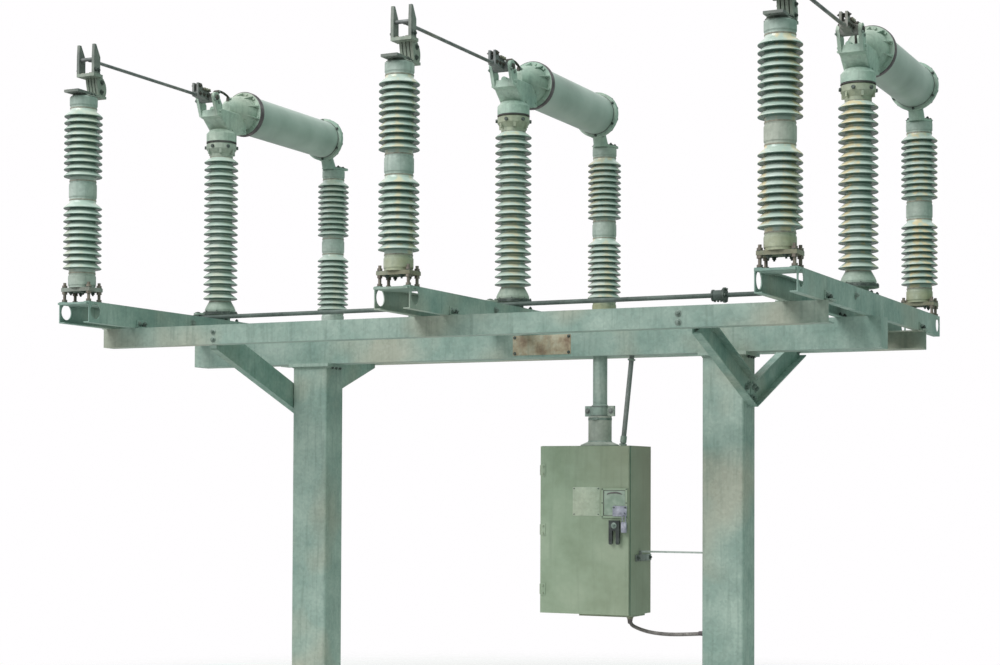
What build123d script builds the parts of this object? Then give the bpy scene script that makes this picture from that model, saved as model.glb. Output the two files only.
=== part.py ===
"""Three-pole outdoor circuit switcher on its own two-post steel structure.

Each pole has a vertical-break blade in series with a horizontal gas interrupter, carried by two
post-insulator stacks, with a rotating insulator column between them that works the blade.
X runs along the row of poles, Y from the blade end (front) to the interrupter end (rear), Z up
from the ground. The origin is at ground level, midway between the posts.
"""
from build123d import *
import os
from math import asin, cos, radians, sin, sqrt, tan

os.makedirs("parts", exist_ok=True)

# Layout of the whole apparatus
pole_count = 3
pole_spacing = 2134.0
stack_spacing = 2830.0
beam_top = 2540.0
girder_overhang = 146.0
post_spacing = 2754.0
running_gap = 0.3

# Square-tube posts
post_width = 250.0
post_depth = 206.0
post_wall = 8.0
post_corner = 16.0
foot_plate_side = 460.0
foot_plate_thickness = 25.0
anchor_pitch = 360.0
anchor_hole_radius = 14.0
post_vent_radius = 50.0
head_plate_overhang = 20.0
head_plate_thickness = 20.0

# Centre girder and the two outer beams
girder_width = 150.0
girder_depth = 175.0
girder_wall = 8.0
outer_beam_width = 102.0
outer_beam_depth = 113.0
outer_beam_wall = 7.0
outer_beam_offset = 989.0
outer_beam_overhang = 132.0

# Knee braces, channels bolted to the outer side of each post
brace_depth = 150.0
brace_flange = 48.0
brace_wall = 7.0
brace_slope = 0.375
brace_foot_drop = 315.0
brace_foot_gap = 8.0

# Pole bases
base_width = 220.0
base_height = 125.0
base_overhang = 70.0
base_wall = 6.0
base_flange = 40.0
base_hole_radius = 45.0
base_hole_offset = 10.0
base_hole_height = 69.0
seat_plate_length = 180.0
seat_plate_thickness = 12.0
bearing_radius = 65.0
bearing_height = 22.0

# Levelling studs and the plates that they carry
stud_radius = 9.0
stud_hole_radius = 10.0
stud_pitch_x = 176.0
stud_pitch_y = 96.0
stud_gap = 61.0
stud_end = 16.0
nut_across_flats = 28.0
nut_height = 15.0
stack_plate_width = 206.0
stack_plate_length = 126.0
stack_plate_thickness = 22.0

# Post insulators, two units to a stack
unit_height = 542.0
shed_count = 10
shed_pitch = 39.3
shed_radius = 111.5
shed_root_radius = 77.0
shed_edge = 6.0
shed_rise = 21.0
shed_undercut = 3.0
first_shed_drop = 103.0
cap_height = 53.0
cap_radius = 81.0
cap_neck_radius = 77.0
cap_neck_height = 9.0
cap_round = 8.0
stack_washer_thickness = 10.0
bottom_spacer_height = 21.0
top_spacer_height = 14.0

# Rotating insulator columns
rotor_shed_count = 20
rotor_shed_pitch = 47.1
rotor_shed_radius = 111.0
rotor_root_radius = 72.0
rotor_shed_rise = 24.0
rotor_core_over = 35.0
rotor_core_under = 25.0
bell_height = 66.8
bell_radius = 100.0
bell_rim_height = 18.0
bell_shoulder_inset = 8.0
bell_shoulder_height = 38.0
bell_top_radius = 76.0
clamp_radius = 112.0
clamp_height = 19.0
hub_radius = 58.0
hub_height = 17.0
head_radius = 98.0
head_neck_radius = 75.0
head_neck_height = 20.0
head_taper_height = 32.0
head_ring_height = 33.0
head_groove_radius = 86.0
head_groove_height = 8.0
head_rib_count = 6
head_rib_width = 14.0

# Levers and the pipe that ties the three rotating columns together
lever_length = 150.0
lever_rest_angle = 40.0
lever_thickness = 12.0
lever_width = 52.0
lever_pin_radius = 7.0
pin_clearance = 0.05
open_pin_clearance = 1.0
phase_pipe_radius = 13.5
phase_pipe_end = 45.0
pin_block_side = 44.0
pin_block_gap = 2.0
pin_end = 8.0
phase_pipe_drop = 3.5
coupling_radius = 30.0
coupling_length = 60.0
coupling_place = 1353.0

# Hinge housings
housing_width = 152.0
housing_front = 150.0
housing_nose_bottom = 96.0
housing_nose_top = 138.0
housing_shoulder = 99.0
housing_top = 150.0
housing_heel = 178.0
housing_heel_height = 24.0
housing_chin = 105.0
housing_chin_height = 86.0
housing_toe = 5.0
housing_round = 10.0
housing_bell_start = 46.0
housing_bell_nose = 36.0
housing_bell_brow = 110.0
housing_bell_brow_radius = 84.0
housing_bell_shoulder = 200.0
housing_bell_shoulder_radius = 112.0
housing_bell_radius = 116.0
housing_flange_radius = 144.0
housing_flange_thickness = 22.0
housing_rear = 262.0
drum_radius = 98.0
drum_height = 60.0
drum_cone_height = 27.0
drum_cone_radius = 74.0
hinge_ear_thickness = 20.0
hinge_gap = 104.0
hinge_pin_radius = 11.0
hinge_rise = 211.7
hinge_back = 160.0
hinge_ear_radius = 35.0
spring_barrel_radius = 18.0
spring_barrel_length = 90.0
spring_barrel_start = -52.0
spring_barrel_offset = 42.0
spring_barrel_seat = 4.0

# Blades
blade_radius = 10.0
blade_hub_radius = 30.0
blade_hub_clearance = 0.5
blade_root_width = 48.0
blade_root_back = 25.0
blade_root_length = 140.0
blade_root_drop = 24.0
blade_root_rise = 40.0
blade_lug_thickness = 14.0
blade_lug_length = 40.0
blade_lug_rise = 75.0
blade_tip_setback = 34.0
contact_bar_radius = 11.0
contact_bar_gap = 0.3

# Interrupters
tube_rise = 181.7
tube_radius = 130.0
tube_wall = 12.0
tube_rear = 1262.0
flange_radius = 148.0
flange_thickness = 20.0
end_flange_radius = 150.0
end_flange_thickness = 34.0
dome_radius = 118.0
dome_length = 60.0

# Elbows down to the rear stacks, cast with the interrupters' rear ends
elbow_base_radius = 80.0
elbow_base_thickness = 14.0
elbow_neck_radius = 50.0
elbow_top_radius = 43.0
elbow_neck_setback = 56.0
elbow_top_setback = 108.0
elbow_top_height = 94.0

# Terminal pads, four holes each, on the front and rear stacks
terminal_width = 101.6
terminal_reach = 118.0
terminal_thickness = 15.0
terminal_hole_pitch = 44.45
terminal_hole_radius = 7.15
terminal_hole_inset = 20.0
terminal_relief = 42.0

# Jaws on the front stacks
jaw_base_thickness = 14.0
jaw_base_top_radius = 62.0
jaw_arm_width = 90.0
jaw_arm_reach = 153.0
jaw_arm_thickness = 15.0
finger_count = 4
finger_pitch = 22.0
finger_width = 16.0
finger_foot_front = 93.0
finger_foot_rear = 137.0
finger_belly_front = 76.0
finger_belly_rear = 158.0
finger_belly_height = 57.0
finger_top_front = 62.0
finger_top_rear = 96.0
finger_drop = 86.0
jaw_bar_height = 18.0
jaw_bar_front = 11.0
jaw_bar_rear = 93.0
horn_inner = 46.0
horn_thickness = 18.0
horn_depth = 58.0
horn_rise = 86.0
horn_waist_rise = 15.0
horn_tip_depth = 15.0
horn_tip_setback = 4.0

# Operating pipe from cabinet to girder
pipe_place = 577.0
pipe_radius = 42.5
pipe_wall = 5.0
pipe_entry = 75.0
pipe_coupling_radius = 52.0
pipe_coupling_height = 61.0
pipe_ear_reach = 92.0
pipe_ear_thickness = 24.0
sleeve_radius = 69.0
sleeve_height = 150.0
boot_radius = 115.0
boot_height = 27.0
boot_rim = 8.0

# Operator cabinet
cabinet_centre = 551.0
cabinet_width = 560.0
cabinet_depth = 346.0
cabinet_top = 1833.0
cabinet_bottom = 850.0
cabinet_wall = 4.0
door_thickness = 25.0
door_wall = 3.0
door_gap = 0.8
door_inset = 2.0
handle_width = 66.0
handle_head = 60.0
handle_length = 140.0
handle_prong_width = 22.0
handle_thickness = 14.0
handle_boss_radius = 17.0
handle_boss_height = 14.0
handle_edge_distance = 80.0
handle_pivot_height = 1370.0

# Door hinges, gland plate and door fittings
door_hinge_heights = (990.0, 1340.0, 1690.0)
door_hinge_offset = 8.0
door_knuckle_radius = 7.0
door_knuckle_length = 30.0
door_pin_radius = 4.0
door_leaf_width = 6.0
gland_plate_start = 494.0
gland_plate_end = 820.0
gland_plate_depth = 220.0
gland_plate_thickness = 12.0
window_centre = 744.5
window_height = 1500.0
window_width = 163.0
window_length = 173.0
window_rim = 12.0
window_thickness = 8.0

# Strap, conduit and cable between the cabinet and the structure
strap_height = 1217.0
strap_thickness = 10.0
strap_leg = 61.0
strap_width = 26.0
strap_foot_length = 236.0
strap_foot_shift = 47.0
strap_foot_height = 37.0
strap_foot_thickness = 8.0
conduit_radius = 14.5
conduit_wall = 3.0
conduit_foot = 723.0
conduit_head = 779.0
cable_start = 771.0
cable_drop = 67.0
cable_shares = (0.0, 0.0, 0.10, 0.27, 0.50, 0.76, 1.0)
cable_falls = (0.0, 0.42, 0.78, 0.97, 1.05, 1.0, 1.0)
cable_bend_share = 0.45
cable_radius = 11.0
gland_radius = 17.0
gland_height = 18.0

pole_row = (pole_count - 1) * pole_spacing
girder_length = pole_row + 2 * girder_overhang
outer_beam_length = pole_row + 2 * outer_beam_overhang
pole_places = [(index - (pole_count - 1) / 2) * pole_spacing for index in range(pole_count)]
post_places = [-post_spacing / 2, post_spacing / 2]
base_top = beam_top + base_height
girder_bottom = beam_top - girder_depth
front_y = -stack_spacing / 2
rear_y = stack_spacing / 2

# Posts
with BuildPart() as posts:
    for place in post_places:
        with BuildSketch(Plane.XY) as foot_plate:
            with Locations((place, 0)):
                Rectangle(foot_plate_side, foot_plate_side)
                Circle(post_vent_radius, mode=Mode.SUBTRACT)
            with Locations((place, 0)):
                with GridLocations(anchor_pitch, anchor_pitch, 2, 2):
                    Circle(anchor_hole_radius, mode=Mode.SUBTRACT)
        extrude(amount=foot_plate_thickness)
        with BuildSketch(Plane.XY.offset(foot_plate_thickness)) as post_section:
            with Locations((place, 0)):
                RectangleRounded(post_width, post_depth, post_corner)
                RectangleRounded(post_width - 2 * post_wall, post_depth - 2 * post_wall,
                                 post_corner - post_wall, mode=Mode.SUBTRACT)
        extrude(amount=girder_bottom - foot_plate_thickness - head_plate_thickness)
        with BuildSketch(Plane.XY.offset(girder_bottom - head_plate_thickness)) as head_plate:
            with Locations((place, 0)):
                Rectangle(post_width + 2 * head_plate_overhang, post_depth + 2 * head_plate_overhang)
        extrude(amount=head_plate_thickness)
posts.part.label = "posts"
export_step(posts.part, "parts/posts.step")

# Centre girder, a box section with closed ends and a round opening for the operating pipe
with BuildPart() as center_girder:
    with BuildSketch(Plane.YZ.offset(-girder_length / 2)) as girder_section:
        with Locations((0, beam_top - girder_depth / 2)):
            Rectangle(girder_width, girder_depth)
    extrude(amount=girder_length)
    with BuildSketch(Plane.YZ.offset(girder_wall - girder_length / 2)) as girder_hollow:
        with Locations((0, beam_top - girder_depth / 2)):
            Rectangle(girder_width - 2 * girder_wall, girder_depth - 2 * girder_wall)
    extrude(amount=girder_length - 2 * girder_wall, mode=Mode.SUBTRACT)
    with BuildSketch(Plane.XY.offset(girder_bottom)) as pipe_opening:
        with Locations((pipe_place, 0)):
            Circle(pipe_radius + running_gap)
    extrude(amount=girder_wall, mode=Mode.SUBTRACT)
center_girder.part.label = "center_girder"
export_step(center_girder.part, "parts/center_girder.step")

# Outer beams, channels with their webs outward
for name, side in (("front_beam", -1), ("rear_beam", 1)):
    with BuildPart() as outer_beam:
        with BuildSketch(Plane.YZ.offset(-outer_beam_length / 2)) as beam_section:
            with Locations((side * outer_beam_offset, beam_top - outer_beam_depth / 2)):
                Rectangle(outer_beam_width, outer_beam_depth)
            with Locations((side * (outer_beam_offset - outer_beam_wall),
                            beam_top - outer_beam_depth / 2)):
                Rectangle(outer_beam_width, outer_beam_depth - 2 * outer_beam_wall,
                          mode=Mode.SUBTRACT)
        extrude(amount=outer_beam_length)
    outer_beam.part.label = name
    export_step(outer_beam.part, f"parts/{name}.step")

# Knee braces
brace_rise = brace_depth * sqrt(1 + brace_slope**2)
brace_wall_rise = brace_wall * sqrt(1 + brace_slope**2)
brace_reach = outer_beam_offset - outer_beam_width / 2
brace_foot_height = girder_bottom - brace_foot_drop
brace_cut_height = beam_top - outer_beam_wall


def brace_line(reach, above):
    """A point of the brace's side view, at a distance from the post's centre line."""
    return (reach, brace_foot_height + brace_slope * reach + above)


with BuildPart() as knee_braces:
    for side in (-1, 1):
        for direction in (-1, 1):
            inner_face = direction * (post_spacing + post_width) / 2
            for low, high, thickness in ((0, brace_rise, brace_wall),
                                         (0, brace_wall_rise, brace_flange),
                                         (brace_rise - brace_wall_rise, brace_rise, brace_flange)):
                top_reach = min(brace_reach, (brace_cut_height - brace_line(0, high)[1]) / brace_slope)
                outline = [brace_line(brace_foot_gap, low), brace_line(brace_reach, low),
                           (brace_reach, min(brace_cut_height, brace_line(brace_reach, high)[1])),
                           brace_line(top_reach, high), brace_line(brace_foot_gap, high)]
                if low > 0:
                    low_reach = (brace_cut_height - brace_line(0, low)[1]) / brace_slope
                    outline = [brace_line(brace_foot_gap, low), brace_line(low_reach, low),
                               brace_line(top_reach, high), brace_line(brace_foot_gap, high)]
                if top_reach == brace_reach:
                    outline.pop(3)
                with BuildSketch(Plane.YZ.offset(inner_face)) as brace_face:
                    with BuildLine():
                        Polyline([(side * y, z) for y, z in outline], close=True)
                    make_face()
                extrude(amount=direction * thickness)
knee_braces.part.label = "knee_braces"
export_step(knee_braces.part, "parts/knee_braces.step")

# Shared heights of the insulator stacks
plate_bottom = base_top + stud_gap
plate_top = plate_bottom + stack_plate_thickness
stack_bottom = plate_top + stack_washer_thickness
unit_tops = [stack_bottom + bottom_spacer_height + unit_height * count for count in (2, 1)]
stack_top = unit_tops[0] + top_spacer_height

# Heights of the rotating columns
bearing_top = base_top + bearing_height
hub_bottom = bearing_top + running_gap
clamp_bottom = hub_bottom + hub_height
clamp_top = clamp_bottom + clamp_height
rotor_core_bottom = clamp_top + bell_height
rotor_first_shed = rotor_core_bottom + rotor_core_under + (rotor_shed_count - 1) * rotor_shed_pitch
rotor_core_top = rotor_first_shed + rotor_core_over
head_taper_top = rotor_core_top + head_neck_height + head_taper_height
head_ring_top = head_taper_top + head_ring_height
rotor_top = head_ring_top + head_groove_height
drum_bottom = rotor_top + running_gap
housing_bottom = drum_bottom + drum_height
hinge_height = housing_bottom + hinge_rise
tube_axis_height = housing_bottom + tube_rise
lever_x = -lever_length * sin(radians(lever_rest_angle))
lever_y = -lever_length * cos(radians(lever_rest_angle))
pin_block_top = clamp_bottom - pin_block_gap
phase_pipe_height = pin_block_top - phase_pipe_radius - phase_pipe_drop
end_face = tube_rear + end_flange_thickness
dome_sphere = (dome_radius**2 + dome_length**2) / (2 * dome_length)
dome_centre = end_face + dome_length - dome_sphere
dome_angle = asin(dome_radius / dome_sphere)


def shed_outline(top, bottom, first, count, pitch, rise, root, rim):
    """Half section of a shedded porcelain core, from its top end down to its lower end."""
    points = [(0, top), (root, top)]
    for index in range(count):
        level = first - index * pitch
        points.append((root, level + rise))
        points.append((rim, level + shed_edge / 2))
        points.append((rim, level - shed_edge / 2))
        points.append((root, level - shed_edge / 2 + shed_undercut))
    points.append((root, bottom))
    points.append((0, bottom))
    return points


# Bearing housings of the rotating columns, bolted on the pole bases
with BuildPart() as rotor_bearings:
    with BuildSketch(Plane.XY.offset(base_top)) as bearing_section:
        for place in pole_places:
            with Locations((place, 0)):
                Circle(bearing_radius)
    extrude(amount=bearing_height)
rotor_bearings.part.label = "rotor_bearings"
export_step(rotor_bearings.part, "parts/rotor_bearings.step")

# Levelling studs with their nuts, four under each fixed stack
with BuildPart() as levelling_studs:
    for place in pole_places:
        for stack_y in (front_y, rear_y):
            with BuildSketch(Plane.XY.offset(base_top)) as stud_section:
                with Locations((place, stack_y)):
                    with GridLocations(stud_pitch_x, stud_pitch_y, 2, 2):
                        Circle(stud_radius)
            extrude(amount=stud_gap + stack_plate_thickness + nut_height + stud_end)
            for level in (base_top, plate_bottom - nut_height, plate_top):
                with BuildSketch(Plane.XY.offset(level)) as nut_section:
                    with Locations((place, stack_y)):
                        with GridLocations(stud_pitch_x, stud_pitch_y, 2, 2):
                            RegularPolygon(nut_across_flats / 2, 6, major_radius=False)
                extrude(amount=nut_height)
levelling_studs.part.label = "levelling_studs"
export_step(levelling_studs.part, "parts/levelling_studs.step")

# What each pole carries
for pole, pole_x in enumerate(pole_places, start=1):

    # Pole base: two channels, flanges inward, joined by the seat plates
    with BuildPart() as pole_base:
        for side in (-1, 1):
            with BuildSketch(Plane.XZ.offset(-stack_spacing / 2 - base_overhang)) as channel:
                with Locations((pole_x + side * (base_width - base_flange) / 2,
                                beam_top + base_height / 2)):
                    Rectangle(base_flange, base_height)
                with Locations((pole_x + side * ((base_width - base_flange) / 2 - base_wall),
                                beam_top + base_height / 2)):
                    Rectangle(base_flange, base_height - 2 * base_wall, mode=Mode.SUBTRACT)
            extrude(amount=stack_spacing + 2 * base_overhang)
        with BuildSketch(Plane.YZ.offset(pole_x - base_width / 2)) as end_holes:
            for side in (-1, 1):
                with Locations((side * (rear_y + base_hole_offset), beam_top + base_hole_height)):
                    Circle(base_hole_radius)
        extrude(amount=base_width, mode=Mode.SUBTRACT)
        with BuildSketch(Plane.XY.offset(base_top - base_wall)) as seat_plates:
            for place in (front_y, 0, rear_y):
                with Locations((pole_x, place)):
                    Rectangle(base_width - 2 * base_wall, seat_plate_length)
        extrude(amount=-seat_plate_thickness)
    pole_base.part.label = f"pole_base_{pole}"
    export_step(pole_base.part, f"parts/pole_base_{pole}.step")

    # Metal parts of the fixed stacks: carrier plates, end caps and the caps between the units
    with BuildPart() as stack_fittings:
        for place in (front_y, rear_y):
            with BuildSketch(Plane.XY.offset(plate_bottom)) as carrier_plate:
                with Locations((pole_x, place)):
                    Rectangle(stack_plate_width, stack_plate_length)
                    with GridLocations(stud_pitch_x, stud_pitch_y, 2, 2):
                        Circle(stud_hole_radius, mode=Mode.SUBTRACT)
            extrude(amount=stack_plate_thickness)
            with BuildSketch(Plane.XY.offset(plate_top)) as spacer:
                with Locations((pole_x, place)):
                    Circle(cap_neck_radius)
            extrude(amount=stack_bottom - plate_top)
            for low, high, necks in (
                (stack_bottom, unit_tops[1] - unit_height + cap_height, (1,)),
                (unit_tops[1] - cap_height, unit_tops[1] + cap_height, (-1, 1)),
                (unit_tops[0] - cap_height, stack_top, (-1,)),
            ):
                outline = [(0, low), (cap_neck_radius, low)]
                if -1 in necks:
                    low += cap_neck_height
                    outline.append((cap_neck_radius, low))
                outline.append((cap_radius, low + cap_round))
                if 1 in necks:
                    outline.append((cap_radius, high - cap_neck_height - cap_round))
                    outline.append((cap_neck_radius, high - cap_neck_height))
                else:
                    outline.append((cap_radius, high - cap_round))
                outline.extend([(cap_neck_radius, high), (0, high)])
                with BuildSketch(Plane.XZ.offset(-place)) as cap_section:
                    with BuildLine():
                        Polyline([(pole_x + r, z) for r, z in outline], close=True)
                    make_face()
                revolve(axis=Axis((pole_x, place, 0), (0, 0, 1)))
    stack_fittings.part.label = f"stack_fittings_{pole}"
    export_step(stack_fittings.part, f"parts/stack_fittings_{pole}.step")

    # Porcelain of the fixed stacks, two units front and two rear
    with BuildPart() as stack_porcelain:
        for place in (front_y, rear_y):
            for unit_top in unit_tops:
                outline = shed_outline(unit_top - cap_height, unit_top - unit_height + cap_height,
                                       unit_top - first_shed_drop, shed_count, shed_pitch, shed_rise,
                                       shed_root_radius, shed_radius)
                with BuildSketch(Plane.XZ.offset(-place)) as shed_section:
                    with BuildLine():
                        Polyline([(pole_x + r, z) for r, z in outline], close=True)
                    make_face()
                revolve(axis=Axis((pole_x, place, 0), (0, 0, 1)))
    stack_porcelain.part.label = f"stack_porcelain_{pole}"
    export_step(stack_porcelain.part, f"parts/stack_porcelain_{pole}.step")

    # Rotating column: porcelain
    with BuildPart() as rotor_porcelain:
        outline = shed_outline(rotor_core_top, rotor_core_bottom, rotor_first_shed, rotor_shed_count,
                               rotor_shed_pitch, rotor_shed_rise, rotor_root_radius,
                               rotor_shed_radius)
        with BuildSketch(Plane.XZ) as rotor_section:
            with BuildLine():
                Polyline([(pole_x + r, z) for r, z in outline], close=True)
            make_face()
        revolve(axis=Axis((pole_x, 0, 0), (0, 0, 1)))
    rotor_porcelain.part.label = f"rotor_porcelain_{pole}"
    export_step(rotor_porcelain.part, f"parts/rotor_porcelain_{pole}.step")

    # Rotating column: bell, clamp and lever at the foot, driving head at the top
    clearance = pin_clearance if pole == 2 else open_pin_clearance
    with BuildPart() as rotor_castings:
        with BuildSketch(Plane.XZ) as foot_section:
            with BuildLine():
                Polyline((pole_x, hub_bottom), (pole_x + hub_radius, hub_bottom),
                         (pole_x + hub_radius, clamp_bottom), (pole_x + clamp_radius, clamp_bottom),
                         (pole_x + clamp_radius, clamp_top), (pole_x + bell_radius, clamp_top),
                         (pole_x + bell_radius, clamp_top + bell_rim_height),
                         (pole_x + bell_radius - bell_shoulder_inset, clamp_top + bell_shoulder_height),
                         (pole_x + bell_top_radius, rotor_core_bottom), (pole_x, rotor_core_bottom),
                         close=True)
            make_face()
        revolve(axis=Axis((pole_x, 0, 0), (0, 0, 1)))
        with BuildSketch(Plane.XZ) as head_section:
            with BuildLine():
                Polyline((pole_x, rotor_core_top), (pole_x + head_neck_radius, rotor_core_top),
                         (pole_x + head_neck_radius, rotor_core_top + head_neck_height),
                         (pole_x + head_radius, head_taper_top), (pole_x + head_radius, head_ring_top),
                         (pole_x + head_groove_radius, head_ring_top),
                         (pole_x + head_groove_radius, rotor_top), (pole_x, rotor_top), close=True)
            make_face()
        revolve(axis=Axis((pole_x, 0, 0), (0, 0, 1)))
        with BuildSketch(Plane.XY.offset(rotor_core_top + head_neck_height)) as head_ribs:
            with Locations((pole_x, 0)):
                with PolarLocations(head_radius / 2, head_rib_count):
                    Rectangle(head_radius - head_groove_height, head_rib_width)
        extrude(amount=head_taper_height)
        with BuildSketch(Plane.XY.offset(clamp_bottom)) as lever_shape:
            with Locations((pole_x + lever_x / 2, lever_y / 2)):
                SlotCenterToCenter(lever_length, lever_width, rotation=90 - lever_rest_angle)
            with Locations((pole_x + lever_x, lever_y)):
                Circle(lever_pin_radius + clearance, mode=Mode.SUBTRACT)
        extrude(amount=lever_thickness)
    rotor_castings.part.label = f"rotor_castings_{pole}"
    export_step(rotor_castings.part, f"parts/rotor_castings_{pole}.step")

    # Hinge housing: bearing drum, gear case, bell in line with the interrupter, two hinge ears with
    # their pin, and a spring barrel on the case
    with BuildPart() as hinge_housing:
        with BuildSketch(Plane.YZ.offset(pole_x - housing_width / 2)) as case_section:
            with BuildLine():
                Polyline((-housing_toe, housing_bottom), (drum_cone_radius, housing_bottom),
                         (housing_heel, housing_bottom + housing_heel_height),
                         (housing_heel, housing_bottom + housing_top),
                         (-housing_shoulder, housing_bottom + housing_top),
                         (-housing_front, housing_bottom + housing_nose_top),
                         (-housing_front, housing_bottom + housing_nose_bottom),
                         (-housing_chin, housing_bottom + housing_chin_height), close=True)
            make_face()
        extrude(amount=housing_width)
        side_faces = hinge_housing.faces().filter_by(Axis.X)
        fillet(side_faces.edges(), housing_round)
        shoulder = (housing_bell_shoulder, tube_axis_height + housing_bell_shoulder_radius)
        flange_face = housing_rear - housing_flange_thickness
        with BuildSketch(Plane.YZ.offset(pole_x)) as bell_section:
            with BuildLine():
                ThreePointArc((housing_bell_start, tube_axis_height + housing_bell_nose),
                              (housing_bell_brow, tube_axis_height + housing_bell_brow_radius), shoulder)
                Polyline(shoulder, (flange_face, tube_axis_height + housing_bell_radius),
                         (flange_face, tube_axis_height + housing_flange_radius),
                         (housing_rear, tube_axis_height + housing_flange_radius),
                         (housing_rear, tube_axis_height), (housing_bell_start, tube_axis_height),
                         (housing_bell_start, tube_axis_height + housing_bell_nose))
            make_face()
        revolve(axis=Axis((pole_x, 0, tube_axis_height), (0, 1, 0)))
        with BuildSketch(Plane.XZ) as drum_section:
            with BuildLine():
                Polyline((pole_x, drum_bottom), (pole_x + head_groove_radius, drum_bottom),
                         (pole_x + head_groove_radius, drum_bottom + head_groove_height),
                         (pole_x + drum_radius, drum_bottom + head_groove_height),
                         (pole_x + drum_radius, housing_bottom),
                         (pole_x + drum_cone_radius, housing_bottom + drum_cone_height),
                         (pole_x, housing_bottom + drum_cone_height), close=True)
            make_face()
        revolve(axis=Axis((pole_x, 0, 0), (0, 0, 1)))
        for side in (-1, 1):
            with BuildSketch(Plane.YZ.offset(pole_x + side * hinge_gap / 2)) as ear:
                with BuildLine():
                    Polyline((-hinge_back - hinge_ear_radius, hinge_height),
                             (-housing_front, housing_bottom + housing_nose_bottom),
                             (-housing_shoulder, housing_bottom + housing_nose_bottom),
                             (-housing_shoulder, hinge_height - hinge_ear_radius),
                             (-hinge_back + hinge_ear_radius, hinge_height))
                    ThreePointArc((-hinge_back + hinge_ear_radius, hinge_height),
                                  (-hinge_back, hinge_height + hinge_ear_radius),
                                  (-hinge_back - hinge_ear_radius, hinge_height))
                make_face()
            extrude(amount=side * hinge_ear_thickness)
        with BuildSketch(Plane.YZ.offset(pole_x - hinge_gap / 2 - hinge_ear_thickness)) as hinge_pin:
            with Locations((-hinge_back, hinge_height)):
                Circle(hinge_pin_radius)
        extrude(amount=hinge_gap + 2 * hinge_ear_thickness)
        barrel_height = housing_bottom + housing_top + spring_barrel_radius - spring_barrel_seat
        with BuildSketch(Plane.XZ.offset(-spring_barrel_start)) as barrel:
            with Locations((pole_x - spring_barrel_offset, barrel_height)):
                Circle(spring_barrel_radius)
        extrude(amount=-spring_barrel_length)
    hinge_housing.part.label = f"hinge_housing_{pole}"
    export_step(hinge_housing.part, f"parts/hinge_housing_{pole}.step")

    # Blade: hinge hub, root casting with its lugs, long tube and contact bar
    tip_y = front_y + blade_tip_setback
    root_top = hinge_height + blade_root_rise
    with BuildPart() as blade:
        hub_width = hinge_gap - 2 * blade_hub_clearance
        with BuildSketch(Plane.YZ.offset(pole_x - hub_width / 2)) as hub_section:
            with Locations((-hinge_back, hinge_height)):
                Circle(blade_hub_radius)
        extrude(amount=hub_width)
        with BuildSketch(Plane.YZ.offset(pole_x - blade_root_width / 2)) as root_section:
            with BuildLine():
                Polyline((-hinge_back, hinge_height - blade_root_drop),
                         (-hinge_back - blade_root_length, hinge_height - blade_radius),
                         (-hinge_back - blade_root_length, hinge_height + blade_radius),
                         (-hinge_back - blade_root_length + blade_lug_length, root_top),
                         (-hinge_back - blade_root_back, root_top),
                         (-hinge_back, hinge_height + blade_root_drop), close=True)
            make_face()
        extrude(amount=blade_root_width)
        for side in (-1, 1):
            with BuildSketch(Plane.YZ.offset(pole_x + side * blade_root_width / 2)) as lug:
                with BuildLine():
                    Polyline((-hinge_back - blade_root_length, hinge_height),
                             (-hinge_back - blade_root_length, hinge_height + blade_lug_rise),
                             (-hinge_back - blade_root_length + blade_lug_length,
                              hinge_height + blade_lug_rise),
                             (-hinge_back - blade_root_length + 2 * blade_lug_length, hinge_height),
                             close=True)
                make_face()
            extrude(amount=-side * blade_lug_thickness)
        with BuildSketch(Plane.XZ.offset(hinge_back)) as tube_section:
            with Locations((pole_x, hinge_height)):
                Circle(blade_radius)
        extrude(amount=-tip_y - hinge_back)
        bar_length = 2 * (horn_inner - contact_bar_gap)
        with BuildSketch(Plane.YZ.offset(pole_x - bar_length / 2)) as contact_bar:
            with Locations((tip_y, hinge_height)):
                Circle(contact_bar_radius)
        extrude(amount=bar_length)
        with BuildSketch(Plane.YZ.offset(pole_x - hub_width / 2)) as hub_bore:
            with Locations((-hinge_back, hinge_height)):
                Circle(hinge_pin_radius + pin_clearance)
        extrude(amount=hub_width, mode=Mode.SUBTRACT)
    blade.part.label = f"blade_{pole}"
    export_step(blade.part, f"parts/blade_{pole}.step")

    # Interrupter: a hollow tube
    with BuildPart() as interrupter_tube:
        with BuildSketch(Plane.XZ.offset(-housing_rear - flange_thickness)) as tube_ring:
            with Locations((pole_x, tube_axis_height)):
                Circle(tube_radius)
                Circle(tube_radius - tube_wall, mode=Mode.SUBTRACT)
        extrude(amount=-(tube_rear - housing_rear - flange_thickness))
    interrupter_tube.part.label = f"interrupter_tube_{pole}"
    export_step(interrupter_tube.part, f"parts/interrupter_tube_{pole}.step")

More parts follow.
